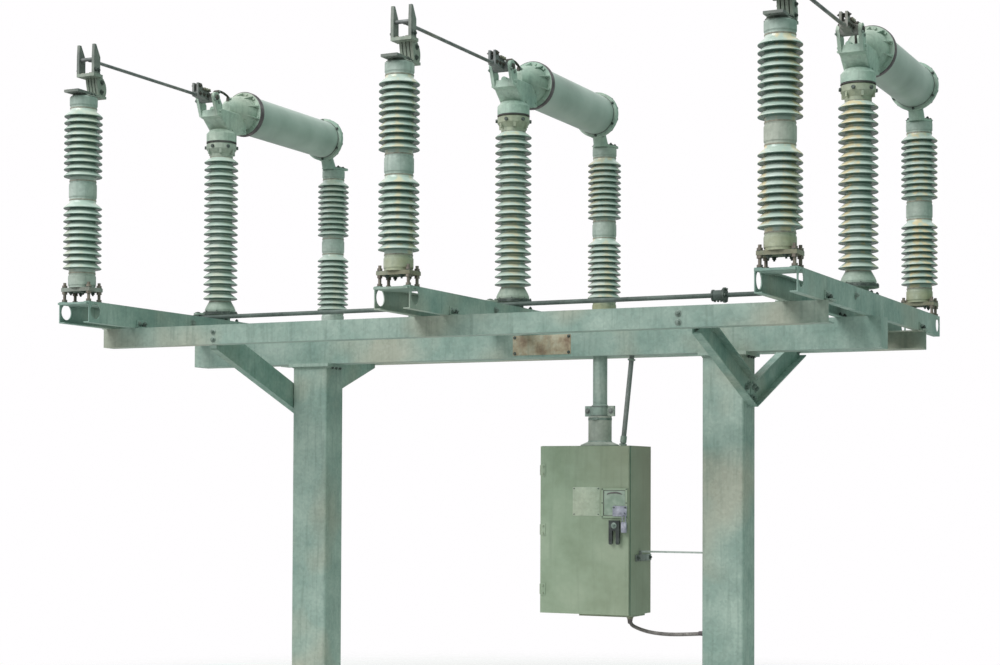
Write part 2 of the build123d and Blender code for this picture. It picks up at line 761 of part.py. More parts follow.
    # Its front flange, and its domed rear end cast with the elbow and terminal pad on the rear stack
    with BuildPart() as interrupter_ends:
        with BuildSketch(Plane.XZ.offset(-housing_rear)) as front_flange:
            with Locations((pole_x, tube_axis_height)):
                Circle(flange_radius)
        extrude(amount=-flange_thickness)
        with BuildSketch(Plane.YZ.offset(pole_x)) as end_section:
            with BuildLine():
                Polyline((tube_rear, tube_axis_height), (tube_rear, tube_axis_height + end_flange_radius),
                         (end_face, tube_axis_height + end_flange_radius),
                         (end_face, tube_axis_height + dome_radius))
                ThreePointArc((end_face, tube_axis_height + dome_radius),
                              (dome_centre + dome_sphere * cos(dome_angle / 2),
                               tube_axis_height + dome_sphere * sin(dome_angle / 2)),
                              (end_face + dome_length, tube_axis_height))
                Line((end_face + dome_length, tube_axis_height), (tube_rear, tube_axis_height))
            make_face()
        revolve(axis=Axis((pole_x, 0, tube_axis_height), (0, 1, 0)))
        foot_top = stack_top + elbow_base_thickness
        with BuildSketch(Plane.XY.offset(stack_top)) as elbow_base:
            with Locations((pole_x, rear_y)):
                Circle(elbow_base_radius)
            with Locations((pole_x, rear_y + terminal_relief + elbow_base_radius)):
                Rectangle(2 * elbow_base_radius, 2 * elbow_base_radius, mode=Mode.SUBTRACT)
        extrude(amount=elbow_base_thickness)
        with BuildSketch(Plane.XY.offset(foot_top)) as rear_pad:
            with Locations((pole_x, rear_y + terminal_reach / 2)):
                Rectangle(terminal_width, terminal_reach)
            with Locations((pole_x, rear_y + terminal_reach - terminal_hole_inset
                            - terminal_hole_pitch / 2)):
                with GridLocations(terminal_hole_pitch, terminal_hole_pitch, 2, 2):
                    Circle(terminal_hole_radius, mode=Mode.SUBTRACT)
        extrude(amount=terminal_thickness)
        with BuildSketch(Plane.XY.offset(stack_top)) as neck_low:
            with Locations((pole_x, rear_y - elbow_neck_setback)):
                Circle(elbow_neck_radius)
        with BuildSketch(Plane.XY.offset(foot_top + elbow_top_height)) as neck_high:
            with Locations((pole_x, rear_y - elbow_top_setback)):
                Circle(elbow_top_radius)
        loft(sections=[neck_low.sketch, neck_high.sketch])
    interrupter_ends.part.label = f"interrupter_ends_{pole}"
    export_step(interrupter_ends.part, f"parts/interrupter_ends_{pole}.step")

    # Jaw: base with its terminal pad, curved leaves, crossbar and the two contact horns
    with BuildPart() as jaw:
        jaw_foot = stack_top + jaw_base_thickness
        leaf_top = hinge_height - finger_drop
        with BuildSketch(Plane.XZ.offset(-front_y)) as jaw_base:
            with BuildLine():
                Polyline((pole_x, stack_top), (pole_x + cap_radius, stack_top),
                         (pole_x + jaw_base_top_radius, jaw_foot), (pole_x, jaw_foot), close=True)
            make_face()
        revolve(axis=Axis((pole_x, front_y, 0), (0, 0, 1)))
        with BuildSketch(Plane.XY.offset(stack_top)) as jaw_relief:
            with Locations((pole_x, front_y - terminal_relief - cap_radius)):
                Rectangle(2 * cap_radius, 2 * cap_radius)
        extrude(amount=jaw_base_thickness, mode=Mode.SUBTRACT)
        with BuildSketch(Plane.XY.offset(jaw_foot)) as front_pad:
            with Locations((pole_x, front_y - terminal_reach / 2)):
                Rectangle(terminal_width, terminal_reach)
            with Locations((pole_x, front_y + jaw_arm_reach / 2)):
                Rectangle(jaw_arm_width, jaw_arm_reach)
            with Locations((pole_x, front_y - terminal_reach + terminal_hole_inset
                            + terminal_hole_pitch / 2)):
                with GridLocations(terminal_hole_pitch, terminal_hole_pitch, 2, 2):
                    Circle(terminal_hole_radius, mode=Mode.SUBTRACT)
        extrude(amount=jaw_arm_thickness)
        for index in range(finger_count):
            leaf_x = pole_x + (index - (finger_count - 1) / 2) * finger_pitch - finger_width / 2
            with BuildSketch(Plane.YZ.offset(leaf_x)) as leaf:
                with BuildLine():
                    ThreePointArc((front_y + finger_foot_front, jaw_foot),
                                  (front_y + finger_belly_front, jaw_foot + finger_belly_height),
                                  (front_y + finger_top_front, leaf_top))
                    Line((front_y + finger_top_front, leaf_top), (front_y + finger_top_rear, leaf_top))
                    ThreePointArc((front_y + finger_top_rear, leaf_top),
                                  (front_y + finger_belly_rear, jaw_foot + finger_belly_height),
                                  (front_y + finger_foot_rear, jaw_foot))
                    Line((front_y + finger_foot_rear, jaw_foot), (front_y + finger_foot_front, jaw_foot))
                make_face()
            extrude(amount=finger_width)
        bar_half = horn_inner + horn_thickness
        with BuildSketch(Plane.YZ.offset(pole_x - bar_half)) as crossbar:
            with Locations((front_y + (jaw_bar_front + jaw_bar_rear) / 2, leaf_top - jaw_bar_height / 2)):
                Rectangle(jaw_bar_rear - jaw_bar_front, jaw_bar_height)
        extrude(amount=2 * bar_half)
        for side in (-1, 1):
            horn_front = front_y + jaw_bar_front
            with BuildSketch(Plane.YZ.offset(pole_x + side * horn_inner)) as horn:
                with BuildLine():
                    Polyline((horn_front, leaf_top - jaw_bar_height),
                             (horn_front + horn_depth, leaf_top - jaw_bar_height),
                             (horn_front + horn_depth, hinge_height + horn_waist_rise),
                             (horn_front + horn_tip_setback + horn_tip_depth, hinge_height + horn_rise),
                             (horn_front + horn_tip_setback, hinge_height + horn_rise),
                             (horn_front, hinge_height + horn_waist_rise), close=True)
                make_face()
            extrude(amount=side * horn_thickness)
    jaw.part.label = f"jaw_{pole}"
    export_step(jaw.part, f"parts/jaw_{pole}.step")

# Interphase pipe with a pin block at each pole
with BuildPart() as interphase_pipe:
    pipe_start = pole_places[0] + lever_x - phase_pipe_end
    pipe_stop = pole_places[-1] + lever_x + phase_pipe_end
    with BuildSketch(Plane.YZ.offset(pipe_start)) as phase_section:
        with Locations((lever_y, phase_pipe_height)):
            Circle(phase_pipe_radius)
    extrude(amount=pipe_stop - pipe_start)
    with BuildSketch(Plane.XY.offset(phase_pipe_height - phase_pipe_radius)) as pin_blocks:
        for place in pole_places:
            with Locations((place + lever_x, lever_y)):
                Rectangle(pin_block_side, pin_block_side)
    extrude(amount=pin_block_top - phase_pipe_height + phase_pipe_radius)
    with BuildSketch(Plane.XY.offset(pin_block_top)) as pins:
        for place in pole_places:
            with Locations((place + lever_x, lever_y)):
                Circle(lever_pin_radius)
    extrude(amount=pin_block_gap + lever_thickness + pin_end)
interphase_pipe.part.label = "interphase_pipe"
export_step(interphase_pipe.part, "parts/interphase_pipe.step")

# Coupling that joins the two lengths of the interphase pipe
with BuildPart() as phase_coupling:
    with BuildSketch(Plane.YZ.offset(coupling_place - coupling_length / 2)) as coupling_section:
        with Locations((lever_y, phase_pipe_height)):
            Circle(coupling_radius)
            Circle(phase_pipe_radius, mode=Mode.SUBTRACT)
    extrude(amount=coupling_length)
phase_coupling.part.label = "phase_coupling"
export_step(phase_coupling.part, "parts/phase_coupling.step")

# Sleeve and boot on the cabinet's roof, round the operating pipe's shaft
with BuildPart() as pipe_boot:
    with BuildSketch(Plane.XZ) as boot_section:
        with BuildLine():
            Polyline((pipe_place, cabinet_top), (pipe_place + boot_radius, cabinet_top),
                     (pipe_place + boot_radius, cabinet_top + boot_rim),
                     (pipe_place + sleeve_radius, cabinet_top + boot_height),
                     (pipe_place + sleeve_radius, cabinet_top + boot_height + sleeve_height),
                     (pipe_place, cabinet_top + boot_height + sleeve_height), close=True)
        make_face()
    revolve(axis=Axis((pipe_place, 0, 0), (0, 0, 1)))
pipe_boot.part.label = "pipe_boot"
export_step(pipe_boot.part, "parts/pipe_boot.step")

# Operating pipe with its two-eared coupling
coupling_bottom = cabinet_top + boot_height + sleeve_height + running_gap
with BuildPart() as operating_pipe:
    with BuildSketch(Plane.XY.offset(coupling_bottom)) as coupling_body:
        with Locations((pipe_place, 0)):
            Circle(pipe_coupling_radius)
            Rectangle(2 * pipe_ear_reach, pipe_ear_thickness)
    extrude(amount=pipe_coupling_height)
    with BuildSketch(Plane.XY.offset(coupling_bottom + pipe_coupling_height)) as pipe_ring:
        with Locations((pipe_place, 0)):
            Circle(pipe_radius)
            Circle(pipe_radius - pipe_wall, mode=Mode.SUBTRACT)
    extrude(amount=girder_bottom + pipe_entry - coupling_bottom - pipe_coupling_height)
operating_pipe.part.label = "operating_pipe"
export_step(operating_pipe.part, "parts/operating_pipe.step")

# Cabinet shell, open at the front, with its hinge knuckles and pins and the gland plate underneath
door_front = -cabinet_depth / 2
door_rear = door_front + door_thickness
cabinet_front = door_rear + door_gap
cabinet_left = cabinet_centre - cabinet_width / 2
cabinet_right = cabinet_centre + cabinet_width / 2
door_hinge_x = cabinet_left - door_hinge_offset
with BuildPart() as cabinet_shell:
    with BuildSketch(Plane.XZ.offset(-cabinet_front)) as shell_outline:
        with Locations((cabinet_centre, (cabinet_top + cabinet_bottom) / 2)):
            Rectangle(cabinet_width, cabinet_top - cabinet_bottom)
    extrude(amount=-(cabinet_depth / 2 - cabinet_front))
    with BuildSketch(Plane.XZ.offset(-cabinet_front)) as shell_hollow:
        with Locations((cabinet_centre, (cabinet_top + cabinet_bottom) / 2)):
            Rectangle(cabinet_width - 2 * cabinet_wall, cabinet_top - cabinet_bottom - 2 * cabinet_wall)
    extrude(amount=-(cabinet_depth / 2 - cabinet_front - cabinet_wall), mode=Mode.SUBTRACT)
    with BuildSketch(Plane.XY.offset(cabinet_bottom)) as gland_plate:
        with Locations(((gland_plate_start + gland_plate_end) / 2, 0)):
            Rectangle(gland_plate_end - gland_plate_start, gland_plate_depth)
    extrude(amount=-gland_plate_thickness)
    for hinge_level in door_hinge_heights:
        for side in (-1, 1):
            knuckle_start = hinge_level + side * (door_knuckle_length / 2 + running_gap)
            with BuildSketch(Plane.XY.offset(knuckle_start)) as shell_knuckle:
                with Locations((door_hinge_x, door_rear)):
                    Circle(door_knuckle_radius)
                with Locations(((door_hinge_x + cabinet_left) / 2, cabinet_front + door_leaf_width / 2)):
                    Rectangle(door_hinge_offset, door_leaf_width)
            extrude(amount=side * door_knuckle_length / 2)
        with BuildSketch(Plane.XY.offset(hinge_level - door_knuckle_length / 2 - running_gap)) as door_pin:
            with Locations((door_hinge_x, door_rear)):
                Circle(door_pin_radius)
        extrude(amount=door_knuckle_length + 2 * running_gap)
cabinet_shell.part.label = "cabinet_shell"
export_step(cabinet_shell.part, "parts/cabinet_shell.step")

# Cabinet door, a pan with its edges turned back, its window frame and its hinge knuckles
with BuildPart() as cabinet_door:
    with BuildSketch(Plane.XZ.offset(-door_front)) as door_outline:
        with Locations((cabinet_centre, (cabinet_top + cabinet_bottom) / 2)):
            Rectangle(cabinet_width, cabinet_top - cabinet_bottom - 2 * door_inset)
    extrude(amount=-door_thickness)
    with BuildSketch(Plane.XZ.offset(-door_front - door_wall)) as door_hollow:
        with Locations((cabinet_centre, (cabinet_top + cabinet_bottom) / 2)):
            Rectangle(cabinet_width - 2 * door_wall,
                      cabinet_top - cabinet_bottom - 2 * door_inset - 2 * door_wall)
    extrude(amount=-door_thickness + door_wall, mode=Mode.SUBTRACT)
    with BuildSketch(Plane.XZ.offset(-door_front)) as window_frame:
        with Locations((window_centre, window_height)):
            Rectangle(window_width, window_length)
            Rectangle(window_width - 2 * window_rim, window_length - 2 * window_rim, mode=Mode.SUBTRACT)
    extrude(amount=window_thickness)
    for hinge_level in door_hinge_heights:
        with BuildSketch(Plane.XY.offset(hinge_level - door_knuckle_length / 2)) as door_knuckle:
            with Locations((door_hinge_x, door_rear)):
                Circle(door_knuckle_radius)
            with Locations(((door_hinge_x + cabinet_left) / 2, door_rear - door_leaf_width / 2)):
                Rectangle(door_hinge_offset, door_leaf_width)
            with Locations((door_hinge_x, door_rear)):
                Circle(door_pin_radius + pin_clearance, mode=Mode.SUBTRACT)
        extrude(amount=door_knuckle_length)
cabinet_door.part.label = "cabinet_door"
export_step(cabinet_door.part, "parts/cabinet_door.step")

# Door handle, a two-pronged lever on a round boss
handle_x = cabinet_right - handle_edge_distance
boss_face = door_front - running_gap
with BuildPart() as door_handle:
    with BuildSketch(Plane.XZ.offset(-boss_face)) as boss:
        with Locations((handle_x, handle_pivot_height)):
            Circle(handle_boss_radius)
    extrude(amount=handle_boss_height)
    with BuildSketch(Plane.XZ.offset(-boss_face + handle_boss_height)) as lever:
        with Locations((handle_x, handle_pivot_height)):
            Rectangle(handle_width, handle_head)
        for side in (-1, 1):
            prong_x = handle_x + side * (handle_width - handle_prong_width) / 2
            with Locations((prong_x, handle_pivot_height + handle_head / 2 - handle_length / 2)):
                SlotOverall(handle_length, handle_prong_width, rotation=90)
    extrude(amount=handle_thickness)
door_handle.part.label = "door_handle"
export_step(door_handle.part, "parts/door_handle.step")

# Strap from the cabinet's side to the right-hand post, with a foot at each end
post_face = post_places[1] - post_width / 2
strap_top = strap_height + strap_thickness / 2
with BuildPart() as cabinet_strap:
    with BuildSketch(Plane.XZ.offset(-strap_width / 2)) as strap_section:
        with BuildLine():
            Polyline((cabinet_right, strap_top), (post_face, strap_top),
                     (post_face, strap_top - strap_leg), (post_face - strap_thickness, strap_top - strap_leg),
                     (post_face - strap_thickness, strap_top - strap_thickness),
                     (cabinet_right + strap_thickness, strap_top - strap_thickness),
                     (cabinet_right + strap_thickness, strap_top - strap_leg),
                     (cabinet_right, strap_top - strap_leg), close=True)
        make_face()
    extrude(amount=strap_width)
    with BuildSketch(Plane.YZ.offset(cabinet_right)) as strap_foot:
        with Locations((strap_foot_shift, strap_top - strap_leg + strap_foot_height / 2)):
            Rectangle(strap_foot_length, strap_foot_height)
    extrude(amount=strap_foot_thickness)
cabinet_strap.part.label = "cabinet_strap"
export_step(cabinet_strap.part, "parts/cabinet_strap.step")

# Rigid conduit from the cabinet's roof to the girder
with BuildPart() as conduit:
    conduit_run = Vector(conduit_head, 0, girder_bottom) - Vector(conduit_foot, 0, cabinet_top)
    conduit_plane = Plane(origin=(conduit_foot, 0, cabinet_top), z_dir=conduit_run)
    with BuildSketch(conduit_plane) as conduit_ring:
        Circle(conduit_radius)
        Circle(conduit_radius - conduit_wall, mode=Mode.SUBTRACT)
    extrude(amount=conduit_run.length + conduit_radius)
    extrude(conduit_ring.sketch, amount=-conduit_radius)
    split(bisect_by=Plane.XY.offset(cabinet_top), keep=Keep.TOP)
    split(bisect_by=Plane.XY.offset(girder_bottom), keep=Keep.BOTTOM)
conduit.part.label = "conduit"
export_step(conduit.part, "parts/conduit.step")

# Glands for the cable at the cabinet's gland plate and on the post
cable_top = cabinet_bottom - gland_plate_thickness - gland_height
cable_level = cable_top - cable_drop
with BuildPart() as cable_glands:
    with BuildSketch(Plane.XY.offset(cabinet_bottom - gland_plate_thickness)) as floor_gland:
        with Locations((cable_start, 0)):
            Circle(gland_radius)
    extrude(amount=-gland_height)
    with BuildSketch(Plane.YZ.offset(post_face)) as post_gland:
        with Locations((0, cable_level)):
            Circle(gland_radius)
    extrude(amount=-gland_height)
cable_glands.part.label = "cable_glands"
export_step(cable_glands.part, "parts/cable_glands.step")

# Cable from the cabinet's gland plate to the post, hanging in a shallow bend; each bend lies a
# share of the way along and a share of the drop down
cable_span = post_face - gland_height - cable_start
cable_points = [(cable_start + share * cable_span, 0, cable_top - fall * cable_drop)
                for share, fall in zip(cable_shares, cable_falls)]
cable_radii = []
for before, corner, after in zip(cable_points, cable_points[1:], cable_points[2:]):
    first_run = Vector(corner) - Vector(before)
    second_run = Vector(after) - Vector(corner)
    turn = radians(first_run.get_angle(second_run))
    bend_length = cable_bend_share * min(first_run.length, second_run.length)
    cable_radii.append(bend_length / tan(turn / 2))
print("cable radii", [round(radius) for radius in cable_radii])
with BuildPart() as post_cable:
    with BuildLine() as cable_route:
        FilletPolyline(*cable_points, radius=cable_radii)
    cable_plane = Plane(origin=cable_points[0], z_dir=(0, 0, -1))
    with BuildSketch(cable_plane) as cable_section:
        Circle(cable_radius)
    sweep()
post_cable.part.label = "post_cable"
export_step(post_cable.part, "parts/post_cable.step")
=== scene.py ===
"""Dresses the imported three-pole circuit switcher: finishes, fasteners, fine pieces, light and camera."""
import random
from math import cos, hypot, pi, radians, sin, tau

import bmesh
import bpy
from mathutils import Matrix, Vector


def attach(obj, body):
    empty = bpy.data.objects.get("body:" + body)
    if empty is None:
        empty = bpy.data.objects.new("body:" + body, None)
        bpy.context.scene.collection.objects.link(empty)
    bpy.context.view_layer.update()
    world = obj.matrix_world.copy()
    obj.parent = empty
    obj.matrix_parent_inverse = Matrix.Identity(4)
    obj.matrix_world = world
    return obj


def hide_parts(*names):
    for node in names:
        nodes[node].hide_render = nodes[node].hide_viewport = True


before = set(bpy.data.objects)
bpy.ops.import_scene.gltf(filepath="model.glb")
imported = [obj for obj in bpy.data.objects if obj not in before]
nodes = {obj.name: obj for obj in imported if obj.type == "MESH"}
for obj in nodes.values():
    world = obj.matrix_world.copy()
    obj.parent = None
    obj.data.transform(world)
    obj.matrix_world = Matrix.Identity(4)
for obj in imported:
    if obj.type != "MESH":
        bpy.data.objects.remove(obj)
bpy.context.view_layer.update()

# Camera
# It stands in front of the row and to its right, at the height of a person's eyes, and looks slightly
# up with an upright frame: the lens is moved up instead of tilting the camera further.


def link(obj):
    """Puts a new object into the scene."""
    bpy.context.scene.collection.objects.link(obj)
    return obj


camera_place = Vector((4.9325, -10.1936, 1.598))
# Turned to the left, lifted, and leaning about the line of sight, in radians.
turn, lift, lean = 0.4572, 0.0258, 0.0043
level_right = Vector((cos(turn), sin(turn), 0))
level_ahead = Vector((-sin(turn), cos(turn), 0))
ahead = level_ahead * cos(lift) + Vector((0, 0, sin(lift)))
above = -level_ahead * sin(lift) + Vector((0, 0, cos(lift)))
right = level_right * cos(lean) + above * sin(lean)
above = above * cos(lean) - level_right * sin(lean)
lens = bpy.data.cameras.new("camera")
lens.sensor_width = 36.0
lens.lens = 67.385
lens.shift_y = 0.1048
lens.clip_end = 200.0
camera = link(bpy.data.objects.new("camera", lens))
stand = Matrix((right, above, -ahead)).transposed().to_4x4()
camera.matrix_world = Matrix.Translation(camera_place) @ stand
bpy.context.scene.camera = camera
bpy.context.scene.view_settings.view_transform = "Standard"

# Light
# An open white sky gives most of the light from above, and one large soft panel in front and to the
# left makes the faces towards the jaws brighter than those towards the end of the row.


def set_inputs(node, inputs):
    """Sets a node's inputs, by name or number, or links those whose value is another node's output."""
    for name, value in inputs.items():
        if isinstance(value, bpy.types.NodeSocket):
            node.id_data.links.new(value, node.inputs[name])
        else:
            node.inputs[name].default_value = value


def add_node(tree, kind, inputs=None, out=0, stops=None, **settings):
    """Adds a node with its inputs, colour stops and settings, and returns one of its outputs.

    By number, a map range has its value as 0, its range as 1 and 2 and its new range as 3 and 4, and
    a colour mix has its share as 0 and its two colours as 6 and 7.
    """
    node = tree.nodes.new("ShaderNode" + kind)
    for name, value in settings.items():
        setattr(node, name, value)
    set_inputs(node, inputs or {})
    if stops:
        ramp = node.color_ramp.elements
        while len(ramp) < len(stops):
            ramp.new(0.5)
        for stop, (place, tone) in zip(ramp, stops):
            stop.position = place
            stop.color = tone
    return node.outputs[out]


sky = bpy.data.worlds.new("open_sky")
bpy.context.scene.world = sky
sky.use_nodes = True
tree = sky.node_tree
toward = add_node(tree, "TexCoord", out="Generated")
height = add_node(tree, "SeparateXYZ", {0: toward}, "Z")
height = add_node(tree, "MapRange", {0: height, 1: -1.0, 2: 1.0})
# Brightness from straight below, through the horizon, to straight above.
levels = ((0.0, 0.30), (0.46, 0.36), (0.54, 0.72), (0.80, 1.0), (1.0, 1.25))
dome = add_node(tree, "ValToRGB", {0: height},
                stops=[(share, (level, level, level, 1.0)) for share, level in levels])
# From the cabinet's end of the row comes less light, and it is greener.
sideways = add_node(tree, "SeparateXYZ", {0: toward}, "X")
sideways = add_node(tree, "MapRange", {0: sideways, 2: 0.9})
dome = add_node(tree, "Mix", {0: sideways, 6: dome, 7: (0.46, 0.68, 0.60, 1.0)}, 2, data_type="RGBA",
                blend_type="MULTIPLY")
# The surround itself is seen plain white.
shown = add_node(tree, "LightPath", out="Is Camera Ray")
tint = add_node(tree, "Mix", {0: shown, 6: dome, 7: (1.0, 0.99, 1.0, 1.0)}, 2, data_type="RGBA")
set_inputs(tree.nodes["Background"], {"Color": tint, "Strength": 1.0})

panel = bpy.data.lights.new("soft_panel", "AREA")
panel.shape = "DISK"
panel.size = 9.0
panel.energy = 1500.0
panel_light = link(bpy.data.objects.new("soft_panel", panel))
panel_light.location = (-5.0, -11.0, 13.0)
row_middle = Vector((0, 0, 2.6))
panel_light.rotation_euler = (row_middle - panel_light.location).to_track_quat("-Z", "Y").to_euler()

# Floor
# A plain pale studio floor that fades into the white surround before it reaches the horizon.


def linear(code):
    """The linear colour of an sRGB hex code."""
    parts = [int(code[i:i + 2], 16) / 255 for i in (1, 3, 5)]
    return tuple(c / 12.92 if c <= 0.04045 else ((c + 0.055) / 1.055) ** 2.4 for c in parts) + (1.0,)


def new_finish(name):
    """A new material, with its tree, its shader, and the part's own coordinates in metres."""
    material = bpy.data.materials.new(name)
    material.use_nodes = True
    tree = material.node_tree
    return material, tree, tree.nodes["Principled BSDF"], add_node(tree, "TexCoord", out="Object")


floor_material, tree, surface, place = new_finish("pale_studio_floor")
set_inputs(surface, {"Base Color": linear("#dcdcda"), "Roughness": 0.9})
reach = add_node(tree, "VectorMath", {0: place}, "Value", operation="LENGTH")
fade = add_node(tree, "MapRange", {0: reach, 1: 4.2, 2: 7.0}, interpolation_type="SMOOTHSTEP")
clear = add_node(tree, "BsdfTransparent")
blend = add_node(tree, "MixShader", {0: fade, 1: surface.outputs[0], 2: clear})
set_inputs(tree.nodes["Material Output"], {"Surface": blend})
build = bmesh.new()
bmesh.ops.create_grid(build, x_segments=8, y_segments=8, size=8.0)
floor_mesh = bpy.data.meshes.new("floor")
build.to_mesh(floor_mesh)
build.free()
floor_mesh.materials.append(floor_material)
floor = link(bpy.data.objects.new("floor", floor_mesh))
floor.location.z = -0.002

# Posts, girder, outer beams and knee braces
# Rolled steel sections, sawn, welded and bolted, then hot-dip galvanised. The zinc has aged to a dull
# grey-green patina in broad patches, with spangle under it and runs of dirt below the fasteners.


def cloudy_finish(name, clouds, tones, gloss, relief=None, **settings):
    """A finish whose tone and roughness vary in clouds, with the shader's other settings.

    Clouds are (scale per metre, detail, roughness), tones are (share, sRGB colour), and the relief is
    (scale per metre, detail, strength, depth in metres).
    """
    material, tree, surface, place = new_finish(name)
    cloud = add_node(tree, "TexNoise", {"Vector": place, "Scale": clouds[0], "Detail": clouds[1],
                                        "Roughness": clouds[2]})
    tone = add_node(tree, "ValToRGB", {0: cloud}, stops=[(share, linear(code)) for share, code in tones])
    film = add_node(tree, "MapRange", {0: cloud, 3: gloss[0], 4: gloss[1]})
    set_inputs(surface, {"Base Color": tone, "Roughness": film, **settings})
    if relief:
        scale, detail, strength, depth = relief
        grain = add_node(tree, "TexNoise", {"Vector": place, "Scale": scale, "Detail": detail})
        bumps = add_node(tree, "Bump", {"Height": grain, "Strength": strength, "Distance": depth})
        set_inputs(surface, {"Normal": bumps})
    return material, tree, surface, place, cloud, tone


def streaks(tree, place, across, down, detail):
    """Noise drawn out into runs along Z, from its scales per metre across and down."""
    drawn = add_node(tree, "Mapping", {"Vector": place, "Scale": (across, across, down)})
    return add_node(tree, "TexNoise", {"Vector": drawn, "Scale": 1.0, "Detail": detail})


def tinted(tree, tone, value, start, stop, most, code):
    """Lays a colour over the tone, from none of it at the start value to the most at the stop value."""
    share = add_node(tree, "MapRange", {0: value, 1: start, 2: stop, 4: most})
    return add_node(tree, "Mix", {0: share, 6: tone, 7: linear(code)}, 2, data_type="RGBA")


def weathered(name, pale, middle, deep, run=0.35, patch_size=0.25, grit=0.004, warmth=0.34,
              metallic=0.20, bands=()):
    """A matt surface, weathered in patches of three tones. Old zinc is mostly oxide, so hardly metallic.

    Run and warmth say how much the dirt and the beige cover at most. Patch size and grit are in metres:
    real grit is under 1 mm, and drawn coarser so that it shows. Each band of (axis, from, to, colour)
    blends in along one axis.
    """
    material, tree, surface, place, patch, tone = cloudy_finish(
        name, (1 / patch_size, 5.0, 0.62), ((0.30, deep), (0.50, middle), (0.70, pale)), (0.74, 0.50),
        (1 / grit, 2.0, 0.15, 0.002), Metallic=metallic)
    if warmth:
        # Beige fields, 600 mm across.
        warm = add_node(tree, "TexNoise", {"Vector": place, "Scale": 1.7, "Detail": 2.0})
        tone = tinted(tree, tone, warm, 0.50, 0.66, warmth, "#b3aa97")
    for axis, start, stop, code in bands:
        along = add_node(tree, "SeparateXYZ", {0: place}, axis)
        share = add_node(tree, "MapRange", {0: along, 1: start, 2: stop})
        shade = add_node(tree, "Mix", {0: patch, 6: linear(code), 7: tone}, 2, data_type="RGBA")
        tone = add_node(tree, "Mix", {0: share, 6: tone, 7: shade}, 2, data_type="RGBA")
    # Spangle of 15 mm: the real flakes are about half of that, too fine to show.
    spangle = add_node(tree, "TexVoronoi", {"Vector": place, "Scale": 66.0}, "Color")
    flake = add_node(tree, "SeparateColor", {0: spangle})
    flake = add_node(tree, "MapRange", {0: flake, 3: 0.92, 4: 1.06})
    tone = add_node(tree, "VectorMath", {0: tone, 3: flake}, operation="SCALE")
    if run:
        # Runs of dirt, 25 mm wide and 330 mm long.
        dirt = streaks(tree, place, 40.0, 3.0, 3.0)
        tone = tinted(tree, tone, dirt, 0.52, 0.75, run, "#5c7268")
    set_inputs(surface, {"Base Color": tone})
    return material


def plain_surface(name, pale, middle, deep, patch_size, metallic=0.0):
    """The same for a small or sheltered part: no runs of dirt and no beige."""
    return weathered(name, pale, middle, deep, 0.0, patch_size, warmth=0.0, metallic=metallic)


def finish_nodes(material, *names):
    """Gives CAD nodes their finish."""
    for name in names:
        for holder in nodes[name].material_slots:
            holder.material = material


def new_piece(name, build, body, slot, *finishes, crease=38):
    """Makes a piece, smooth below the crease angle, that rides on its body. Its slot is not used."""
    bmesh.ops.recalc_face_normals(build, faces=build.faces)
    mesh = bpy.data.meshes.new(name)
    build.to_mesh(mesh)
    build.free()
    for finish in finishes:
        mesh.materials.append(finish)
    mesh.polygons.foreach_set("use_smooth", [True] * len(mesh.polygons))
    mesh.set_sharp_from_angle(angle=radians(crease))
    piece = link(bpy.data.objects.new(name, mesh))
    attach(piece, body)
    return piece


def aimed(place, normal, spin=0.0):
    """Puts a shape made on its own Z axis at a place, with that axis along the normal."""
    swing = Vector(normal).to_track_quat("Z", "Y").to_matrix().to_4x4()
    return Matrix.Translation(place) @ swing @ Matrix.Rotation(spin, 4, "Z")


def turned(build, profile, place, steps=24, loop=False, finish=0):
    """Turns a profile of (radius, height) about the place's Z axis; radius 0 closes it to a point."""
    rings = []
    for radius, height in profile:
        count = steps if radius else 1
        rings.append([build.verts.new(place @ Vector((radius * cos(tau * i / steps),
                                                      radius * sin(tau * i / steps), height)))
                      for i in range(count)])
    pairs = list(zip(rings, rings[1:]))
    if loop:
        pairs.append((rings[-1], rings[0]))
    for low, high in pairs:
        for i in range(steps):
            j = (i + 1) % steps
            corners = [low[i % len(low)], low[j % len(low)], high[j % len(high)], high[i % len(high)]]
            face = build.faces.new(list(dict.fromkeys(corners)))
            face.material_index = finish


def plate(build, outline, low, high, place, bevel, finish=0):
    """A plate with a flat outline between two heights on the place's Z axis, its edges rounded."""
    bottom = [build.verts.new(place @ Vector((x, y, low))) for x, y in outline]
    top = [build.verts.new(place @ Vector((x, y, high))) for x, y in outline]
    faces = [build.faces.new(bottom[::-1]), build.faces.new(top)]
    for i in range(len(outline)):
        j = (i + 1) % len(outline)
        faces.append(build.faces.new((bottom[i], bottom[j], top[j], top[i])))
    for face in faces:
        face.material_index = finish
    edges = list(dict.fromkeys(edge for face in faces for edge in face.edges))
    bmesh.ops.bevel(build, geom=edges, offset=bevel, segments=2, profile=0.5, affect="EDGES",
                    clamp_overlap=True)


def box_outline(half_x, half_y, corner=0.0):
    """The outline of a rectangle about its centre, with round corners if it has a corner radius."""
    if not corner:
        return [(-half_x, -half_y), (half_x, -half_y), (half_x, half_y), (-half_x, half_y)]
    points = []
    for sx, sy, start in ((1, 1, 0), (-1, 1, 90), (-1, -1, 180), (1, -1, 270)):
        for turn in (0, 22.5, 45, 67.5, 90):
            angle = radians(start + turn)
            points.append((sx * (half_x - corner) + corner * cos(angle),
                           sy * (half_y - corner) + corner * sin(angle)))
    return points


def block(build, centre, size, bevel=0.0015, finish=0):
    """A bar or flat about its centre, its edges rounded."""
    half_x, half_y, half_z = (length / 2 for length in size)
    plate(build, box_outline(half_x, half_y), -half_z, half_z, Matrix.Translation(centre), bevel, finish)


